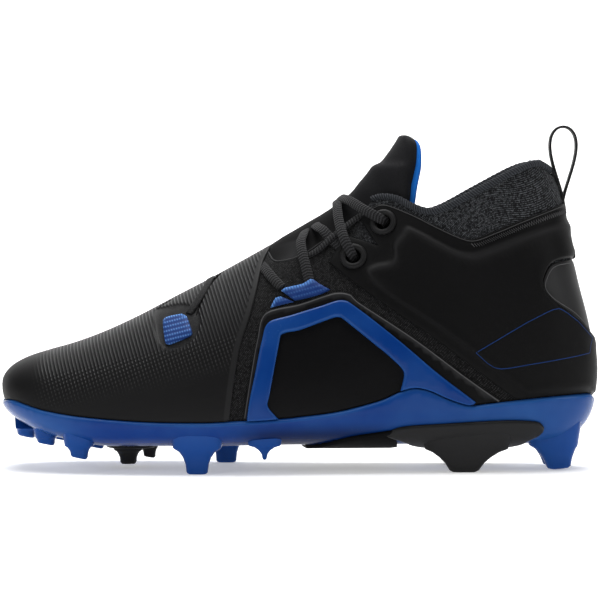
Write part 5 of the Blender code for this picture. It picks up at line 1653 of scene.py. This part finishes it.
PULL_WIDTH, PULL_HEIGHT, PULL_SPREAD = 0.0090, 0.0375, 0.0130
LOOP_FORWARD = 1.5 * MM
shell_back, rim_back = lay(QUARTER_TOP)[-1][0], lay(COLLAR_RIM)[-1][0]
tab_rows = np.linspace(shell_back - 0.25, rim_back - 0.10, 30)
tab_side = np.column_stack([tab_rows, np.full(30, 1 - 0.5 * PULL_WIDTH / ROUND_LENGTH)])
tab = cut_piece("tab_tape", closed_under(tab_side), ON_UPPER + WEBBING_THICKNESS, ON_UPPER,
                rounding=0.4 * MM)
WEB_BLACK = webbing("web_black", (0.005, 0.005, 0.0055), (0.022, 0.022, 0.023))
dress(tab, WEB_BLACK, "pull_tab", "pull_tab")
loop_low, loop_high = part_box("pull_loop")
turns = np.linspace(0, TURN, 97)[:-1]
tall = PULL_HEIGHT - WEBBING_THICKNESS
height = tall * (1 - np.cos(turns)) / 2
swell = np.sin(turns) * (0.10 + 1.42 * height / tall)
loop_x = PULL_SPREAD / 2 * swell + (loop_low.x + loop_high.x) / 2 - LOOP_FORWARD
loop_z = loop_low.z + WEBBING_THICKNESS / 2 + height
loop_y = np.full(len(turns), (loop_low.y + loop_high.y) / 2)
loop_centres = np.column_stack([loop_x, loop_y, loop_z])
loop_tangents = np.roll(loop_centres, -1, axis=0) - np.roll(loop_centres, 1, axis=0)
loop_normals = np.cross(loop_tangents, np.array([0, 1, 0]))
pull = swept("finger_loop", loop_centres, loop_normals,
             oval(PULL_WIDTH, WEBBING_THICKNESS, 16, 5.0), closed=True)
dress(pull, WEB_BLACK, "pull_loop", "pull_loop")

# %% [markdown]
# ## Sock liner
# Inside lies a thin foam footbed with a cloth top.

# %% Sock liner
rows = np.linspace(3.6, 17.8, 140)
liner_edge = np.column_stack([rows, sole_round(rows, 0.83)])
liner = cut_piece("sock_liner", closed_under(liner_edge), INSIDE_UPPER,
                  INSIDE_UPPER - INSOLE_THICKNESS, rounding=0.8 * MM)
LINER_KNIT = knit("liner_cloth", (0.006, 0.006, 0.007), (0.02, 0.02, 0.021), 1500, 900, 0.15)
dress(liner, LINER_KNIT, "insole", "insole")


# %% [markdown]
# ## The plate
# The plate is one glossy moulding that cups the shoe. Its floor is thicker than its
# wall, and a soft crease runs along the wall above the studs.

# %% Plate cup
CREASE_HEIGHT = 0.35 * MM


def plate_level(u, w):
    """The plate's outer level, thin up the wall and thick across the floor."""
    v = 1 - np.abs(w - 1)
    share = np.clip((v - sole_round(u, 1.25)) / 0.12, 0, 1)
    crease = np.exp(-((v - sole_round(u, 1.16)) / 0.016) ** 2)
    return FIT_GAP + PLATE_WALL + (PLATE_FLOOR - PLATE_WALL) * share + CREASE_HEIGHT * crease


plate_toe, plate_heel = LATERAL_EDGE[0][0] - 0.05, LATERAL_EDGE[-1][0] + 0.03
plate_loop = np.vstack([[[plate_toe, 1]], LATERAL_EDGE, [[plate_heel, 1]], MEDIAL_EDGE[::-1]])
plate = cut_piece("plate_cup", plate_loop, plate_level, FIT_GAP, rounding=0.8 * MM)
# With arch at 0.85, the plate gets painted reflections at its toe and heel and painted shade under
# its arch
PLATE_BLUE = glossy("plate_blue", (0.0004, 0.026, 0.165), (0.016, 0.075, 0.250), 0.85)
dress(plate, PLATE_BLUE, "outsole", "outsole")

# %% [markdown]
# ## Studs
# A stud is a blade with a flat worn tip that flares into the plate. Each starts as a
# filled ring at the tip. It is extruded upwards in edit mode, each ring then gets its
# size and height, and the last one is set into the plate. A bevel softens the edges.

# %% Stud by stud
# name: along, across, tip long, tip wide, root long, root wide, reach, slant of the tip,
# shift of the root back. A reach below 0 is a low stud, measured from its neck
STUDS = {
    "stud_toe": (0.040, 0.080, 0.031, 0.190, 0.040, 0.260, -0.10, -0.20, 0.0),
    "stud_toe_lateral": (0.078, -0.130, 0.029, 0.090, 0.038, 0.150, 0.00, -0.20, 0.0),
    "stud_toe_medial": (0.090, 0.270, 0.022, 0.090, 0.036, 0.150, 0.00, -0.20, 0.0),
    "stud_tread_lateral": (0.137, -0.290, 0.027, 0.080, 0.052, 0.130, -0.24, -0.20, 0.0),
    "stud_tread_medial": (0.151, 0.315, 0.026, 0.080, 0.046, 0.130, -0.12, -0.20, 0.0),
    "stud_ball_lateral": (0.332, -0.385, 0.033, 0.075, 0.086, 0.165, 1.00, 0.0, 0.0),
    "stud_ball_medial": (0.374, 0.318, 0.033, 0.075, 0.075, 0.150, 1.00, 0.0, 0.0),
    "stud_fin_lateral": (0.442, -0.370, 0.005, 0.030, 0.058, 0.080, 0.05, 0.0, 0.0),
    "stud_heel_rear_lateral": (0.931, -0.125, 0.036, 0.105, 0.088, 0.160, 0.92, 0.16, -0.010),
    "stud_heel_rear_medial": (0.931, 0.125, 0.036, 0.105, 0.088, 0.160, 0.92, 0.16, -0.010),
}
DARK_STUDS = {
    "stud_ball_centre": (0.212, 0.020, 0.026, 0.090, 0.052, 0.160, 0.50, 0.0, 0.0),
    "stud_ball_small": (0.246, 0.110, 0.020, 0.070, 0.030, 0.110, -0.12, -0.16, 0.0),
    "stud_heel_lateral": (0.770, -0.265, 0.043, 0.075, 0.150, 0.110, 1.00, 0.0, 0.004),
    "stud_heel_medial": (0.770, 0.255, 0.043, 0.075, 0.150, 0.110, 1.00, 0.0, 0.004),
}


def sole_points(x, y, level):
    """Points of the underside, seen from below, at a level."""
    middle = (smooth_rows(LAST, np.array([8.0]))[0][4] - ORIGIN_ACROSS) * BALL_WIDTH
    low, high = (1.0, 1.6) if np.mean(y) > middle else (0.4, 1.0)
    place = nearest(np.column_stack([x, y]), [0, 1], low, high, below=True)
    return on_form(place[:, 0], place[:, 1], np.full(len(x), level))


STUD_CORNERS, STUD_RINGS, BLUNTNESS = 16, 6, 0.62
# How far each ring of a stud has widened from its tip to its root
SLIM = (0.0, 0.05, 0.12, 0.30, 0.58, 1.0)
FLARED = (0.0, 0.06, 0.24, 0.46, 0.72, 1.0)
LONG_ROOT = 0.087


def blunt(turn):
    """A blunt oval of length and width 1, at angles round it."""
    sides = [np.cos(turn), np.sin(turn)]
    return np.column_stack([np.sign(side) * np.abs(side) ** BLUNTNESS for side in sides]) / 2


def extruded_rings(name):
    """A filled ring with rings extruded from it, each 1 higher than the last."""
    bpy.ops.object.select_all(action="DESELECT")
    bpy.ops.mesh.primitive_circle_add(vertices=STUD_CORNERS, radius=1.0, fill_type="NGON",
                                      location=(0, 0, 0))
    made = bpy.context.object
    made.name = made.data.name = name
    bpy.ops.object.mode_set(mode="EDIT")
    for _ in range(STUD_RINGS):
        bpy.ops.mesh.extrude_region_move(TRANSFORM_OT_translate={"value": (0, 0, 1.0)})
    bpy.ops.object.mode_set(mode="OBJECT")
    return made


def stud(name, sizes, level):
    """A blade extruded from its tip and set into the moulding at a level."""
    along, across, tip_long, tip_wide, root_long, root_wide, reach, slant, back = sizes
    x0, y0 = (along - ORIGIN_ALONG) * SHOE_LENGTH, (across - ORIGIN_ACROSS) * BALL_WIDTH
    tip = np.array([tip_long * SHOE_LENGTH, tip_wide * BALL_WIDTH])
    root = np.array([root_long * SHOE_LENGTH, root_wide * BALL_WIDTH])
    outline = blunt((np.arange(STUD_CORNERS) + 0.5) * TURN / STUD_CORNERS)
    shift = back * SHOE_LENGTH
    root_points = sole_points(x0 + shift + outline[:, 0] * root[0], y0 + outline[:, 1] * root[1],
                              level)
    neck = sole_points(x0 + outline[:, 0] * root[0] * 0.88, y0 + outline[:, 1] * root[1] * 0.88,
                       level + 2.2 * MM)
    neck_z = neck[:, 2].min() - 1.0 * MM
    full = max(STUD_LENGTH * 0.30, neck_z - STUD_LENGTH * 0.45)
    tip_z = full * (1 - reach) if reach > 0 else neck_z - 2.0 * MM + reach * STUD_LENGTH
    shoulder_z = tip_z + 0.9 * MM
    span = max(neck_z + 1.2 * MM - shoulder_z, 0.8 * MM)
    heights = [tip_z, shoulder_z] + [shoulder_z + span * s for s in (0.35, 0.62, 0.85, 1.0)]
    shares = FLARED if root_long > LONG_ROOT else SLIM
    made = extruded_rings(name)
    spots = np.array([tuple(vertex.co) for vertex in made.data.vertices])
    shapes = blunt(np.arctan2(spots[:, 1], spots[:, 0]) + math.pi / STUD_CORNERS)
    rings = np.round(spots[:, 2]).astype(int)
    for vertex, ring, shape in zip(made.data.vertices, rings, shapes):
        if ring == STUD_RINGS:
            vertex.co = root_points[np.argmin(np.linalg.norm(outline - shape, axis=1))]
            continue
        size = tip * (0.86 if ring == 0 else 1.0) * (1 - shares[ring]) + root * 0.92 * shares[ring]
        height = heights[ring] + slant * shape[0] * size[0] * max(0, 1 - ring / 3)
        if reach > 0.5:
            height = max(height, heights[0])
        x = x0 + shift * shares[ring] + shape[0] * size[0]
        vertex.co = (x, y0 + shape[1] * size[1], height)
    bpy.ops.object.mode_set(mode="EDIT")
    bpy.ops.mesh.select_all(action="SELECT")
    bpy.ops.mesh.normals_make_consistent(inside=False)
    bpy.ops.object.mode_set(mode="OBJECT")
    soften = made.modifiers.new("edges", "BEVEL")
    soften.width, soften.segments = 0.35 * MM, 2
    soften.limit_method, soften.angle_limit = "ANGLE", math.radians(40)
    bpy.ops.object.modifier_apply(modifier=soften.name)
    bpy.ops.object.shade_smooth_by_angle(angle=math.radians(38))
    store(made, "depth", np.full(len(made.data.vertices), 0.01))
    return made


STUD_BLUE = glossy("stud_blue", (0.0060, 0.050, 0.230), (0.016, 0.085, 0.300))
for name, sizes in STUDS.items():
    dress(stud(name, sizes, FIT_GAP + 0.5 * PLATE_FLOOR), STUD_BLUE, "outsole")
print("blue studs", len(STUDS))

# %% [markdown]
# The dark mouldings are a harder plastic: a keel under the arch, a pad with the middle
# stud, and a winged stud on each side of the heel.

# %% Dark mouldings
STUD_BLACK = coated("stud_black", (0.010, 0.010, 0.0105), 0.40, 1200, 0.03, 0.14)
KEEL_TOP = (
    (0.502, 0.004, HARD), (0.530, 0.016), (0.560, 0.034), (0.585, 0.048), (0.630, 0.062),
    (0.655, 0.070, HARD),
)
keel_half = lay(KEEL_TOP)
keel_start = nearest([[side_view(0.470, 0.0)[0], 0.0]], [0, 1], 0.4, 1.0, below=True)[0][0]
keel_loop = np.vstack([[[keel_start, 1]], keel_half, across_sole(keel_half)[::-1]])
keel = cut_piece("arch_keel", keel_loop, CORE_OUTSIDE, CORE_INSIDE, rounding=0.8 * MM)
# The keel is painted darker than the other dark mouldings: painted shade under the arch
KEEL_SHADED_BLACK = coated("keel_black_shaded", (0.0025, 0.0025, 0.0028), 0.55, 1200, 0.03, 0.04)
dress(keel, KEEL_SHADED_BLACK, "keel", "keel")
rows = np.linspace(7.0, 8.4, 30)
half_width = 0.30 * np.sqrt(1 - np.linspace(-0.96, 0.96, 30) ** 2)
pad_half = np.column_stack([rows, sole_round(rows, half_width)])
pad = cut_piece("ball_pad", closed_under(pad_half), CORE_OUTSIDE, CORE_INSIDE, rounding=0.8 * MM)
dress(pad, STUD_BLACK, "ball_core", "ball_core")
WING = (
    (0.672, 0.030, HARD), (0.645, 0.048), (0.637, 0.056), (0.647, 0.066), (0.671, 0.080),
    (0.744, 0.086), (0.826, 0.091), (0.875, 0.088), (0.893, 0.080), (0.899, 0.066), (0.893, 0.046),
    (0.875, 0.028, HARD),
)
wing_wall = lay(WING)
under_rows = np.linspace(wing_wall[-1][0], wing_wall[0][0], 40)
under_share = np.sin(np.linspace(0, math.pi, 40)) ** 0.8
straight = np.linspace(wing_wall[-1][1], wing_wall[0][1], 40)
under_line = straight + (sole_round(under_rows, 0.25) - straight) * under_share
wing_loop = np.vstack([wing_wall, np.column_stack([under_rows, under_line])[1:-1]])
for side in ("lateral", "medial"):
    loop = wing_loop if side == "lateral" else across_sole(wing_loop)[::-1]
    wing = cut_piece("heel_wing_" + side, loop, CORE_OUTSIDE + 0.4 * MM, CORE_INSIDE,
                     rounding=1.2 * MM)
    dress(wing, STUD_BLACK, "heel_stud_" + side, "heel_stud_" + side)
for name, sizes in DARK_STUDS.items():
    slot = "ball_core" if "ball" in name else name.replace("stud_heel", "heel_stud")
    dress(stud(name, sizes, CORE_INSIDE + 0.5 * CORE_THICKNESS), STUD_BLACK, slot)
print("dark studs", len(DARK_STUDS))

# %% [markdown]
# ## Floor, light and camera
# A pale cove gives a plain floor and background. A large soft light hangs above, a
# second one brightens the cove's wall, and two weaker ones lift the toe and the heel.
# The camera stands a metre and a half away, a little above the shoe's middle, so the
# shoe fills the frame as in the photograph.

# %% The cove
COVE_WIDTH, COVE_DEPTH, COVE_HEIGHT, COVE_BEND = 6, 3.8, 1.8, 0.5
bpy.ops.object.select_all(action="DESELECT")
bpy.ops.mesh.primitive_plane_add(size=1, location=(0, 0, 0))
cove = bpy.context.object
cove.name = "cove"
bpy.ops.object.mode_set(mode="EDIT")
bpy.ops.mesh.select_all(action="SELECT")
bpy.ops.transform.resize(value=(COVE_WIDTH, COVE_DEPTH, 1))
bpy.ops.mesh.select_all(action="DESELECT")
bpy.ops.object.mode_set(mode="OBJECT")
for edge in cove.data.edges:
    edge.select = all(cove.data.vertices[k].co.y > COVE_DEPTH / 4 for k in edge.vertices)
bpy.ops.object.mode_set(mode="EDIT")
bpy.ops.mesh.select_mode(type="EDGE")
bpy.ops.mesh.extrude_region_move(TRANSFORM_OT_translate={"value": (0, 0, COVE_HEIGHT)})
bpy.ops.object.mode_set(mode="OBJECT")
bend = cove.modifiers.new("bend", "BEVEL")
bend.width, bend.segments = COVE_BEND, 16
bpy.ops.object.modifier_apply(modifier=bend.name)
bpy.ops.object.shade_smooth()
COVE_WHITE = Paint("cove_white", (0.85, 0.85, 0.85), 0.9, Emission_Color=(1, 1, 1, 1),
                   Emission_Strength=0.35)
cove.data.materials.append(COVE_WHITE.material)
print("cove", [round(side, 2) for side in cove.dimensions])


# %% Lights
def soft_light(name, place, target, size, energy):
    """A square soft light at a place, turned to a target."""
    light = bpy.data.lights.new(name, "AREA")
    light.shape, light.size, light.energy = "SQUARE", size, energy
    made = bpy.data.objects.new(name, light)
    bpy.context.scene.collection.objects.link(made)
    made.location = place
    made.rotation_euler = (Vector(target) - Vector(place)).to_track_quat("-Z", "Y").to_euler()


soft_light("top_light", (0.0, 0.05, 1.35), (0, 0.02, 0), 1.1, 22)
soft_light("wall_light", (0.0, 0.95, 1.75), (0, 1.9, 0.1), 0.9, 34)
soft_light("side_light", (-1.1, -1.2, 0.8), (0, 0, 0.08), 0.8, 7)
soft_light("rear_light", (1.4, -0.5, 0.6), (0, 0, 0.08), 0.6, 5)
world = bpy.data.worlds.new("studio")
bpy.context.scene.world = world
world.use_nodes = True
background = world.node_tree.nodes["Background"]
background.inputs["Color"].default_value = (1, 1, 1, 1)
background.inputs["Strength"].default_value = 0.10
print("lights", len(bpy.data.lights))

# %% Camera
EYE, AIM = Vector((0.0007, -1.5, 0.130)), Vector((0.0007, 0, 0.084))
FRAME_WIDTH, SENSOR_WIDTH = 0.300, 36
camera_data = bpy.data.cameras.new("camera")
camera = bpy.data.objects.new("camera", camera_data)
bpy.context.scene.collection.objects.link(camera)
bpy.context.scene.camera = camera
camera.location = EYE
camera.rotation_euler = (AIM - EYE).to_track_quat("-Z", "Y").to_euler()
camera_data.sensor_width = SENSOR_WIDTH
camera_data.lens = SENSOR_WIDTH * (AIM - EYE).length / FRAME_WIDTH
camera_data.clip_end = 50
bpy.context.scene.view_settings.view_transform = "Standard"
print("camera lens", round(camera_data.lens, 1))
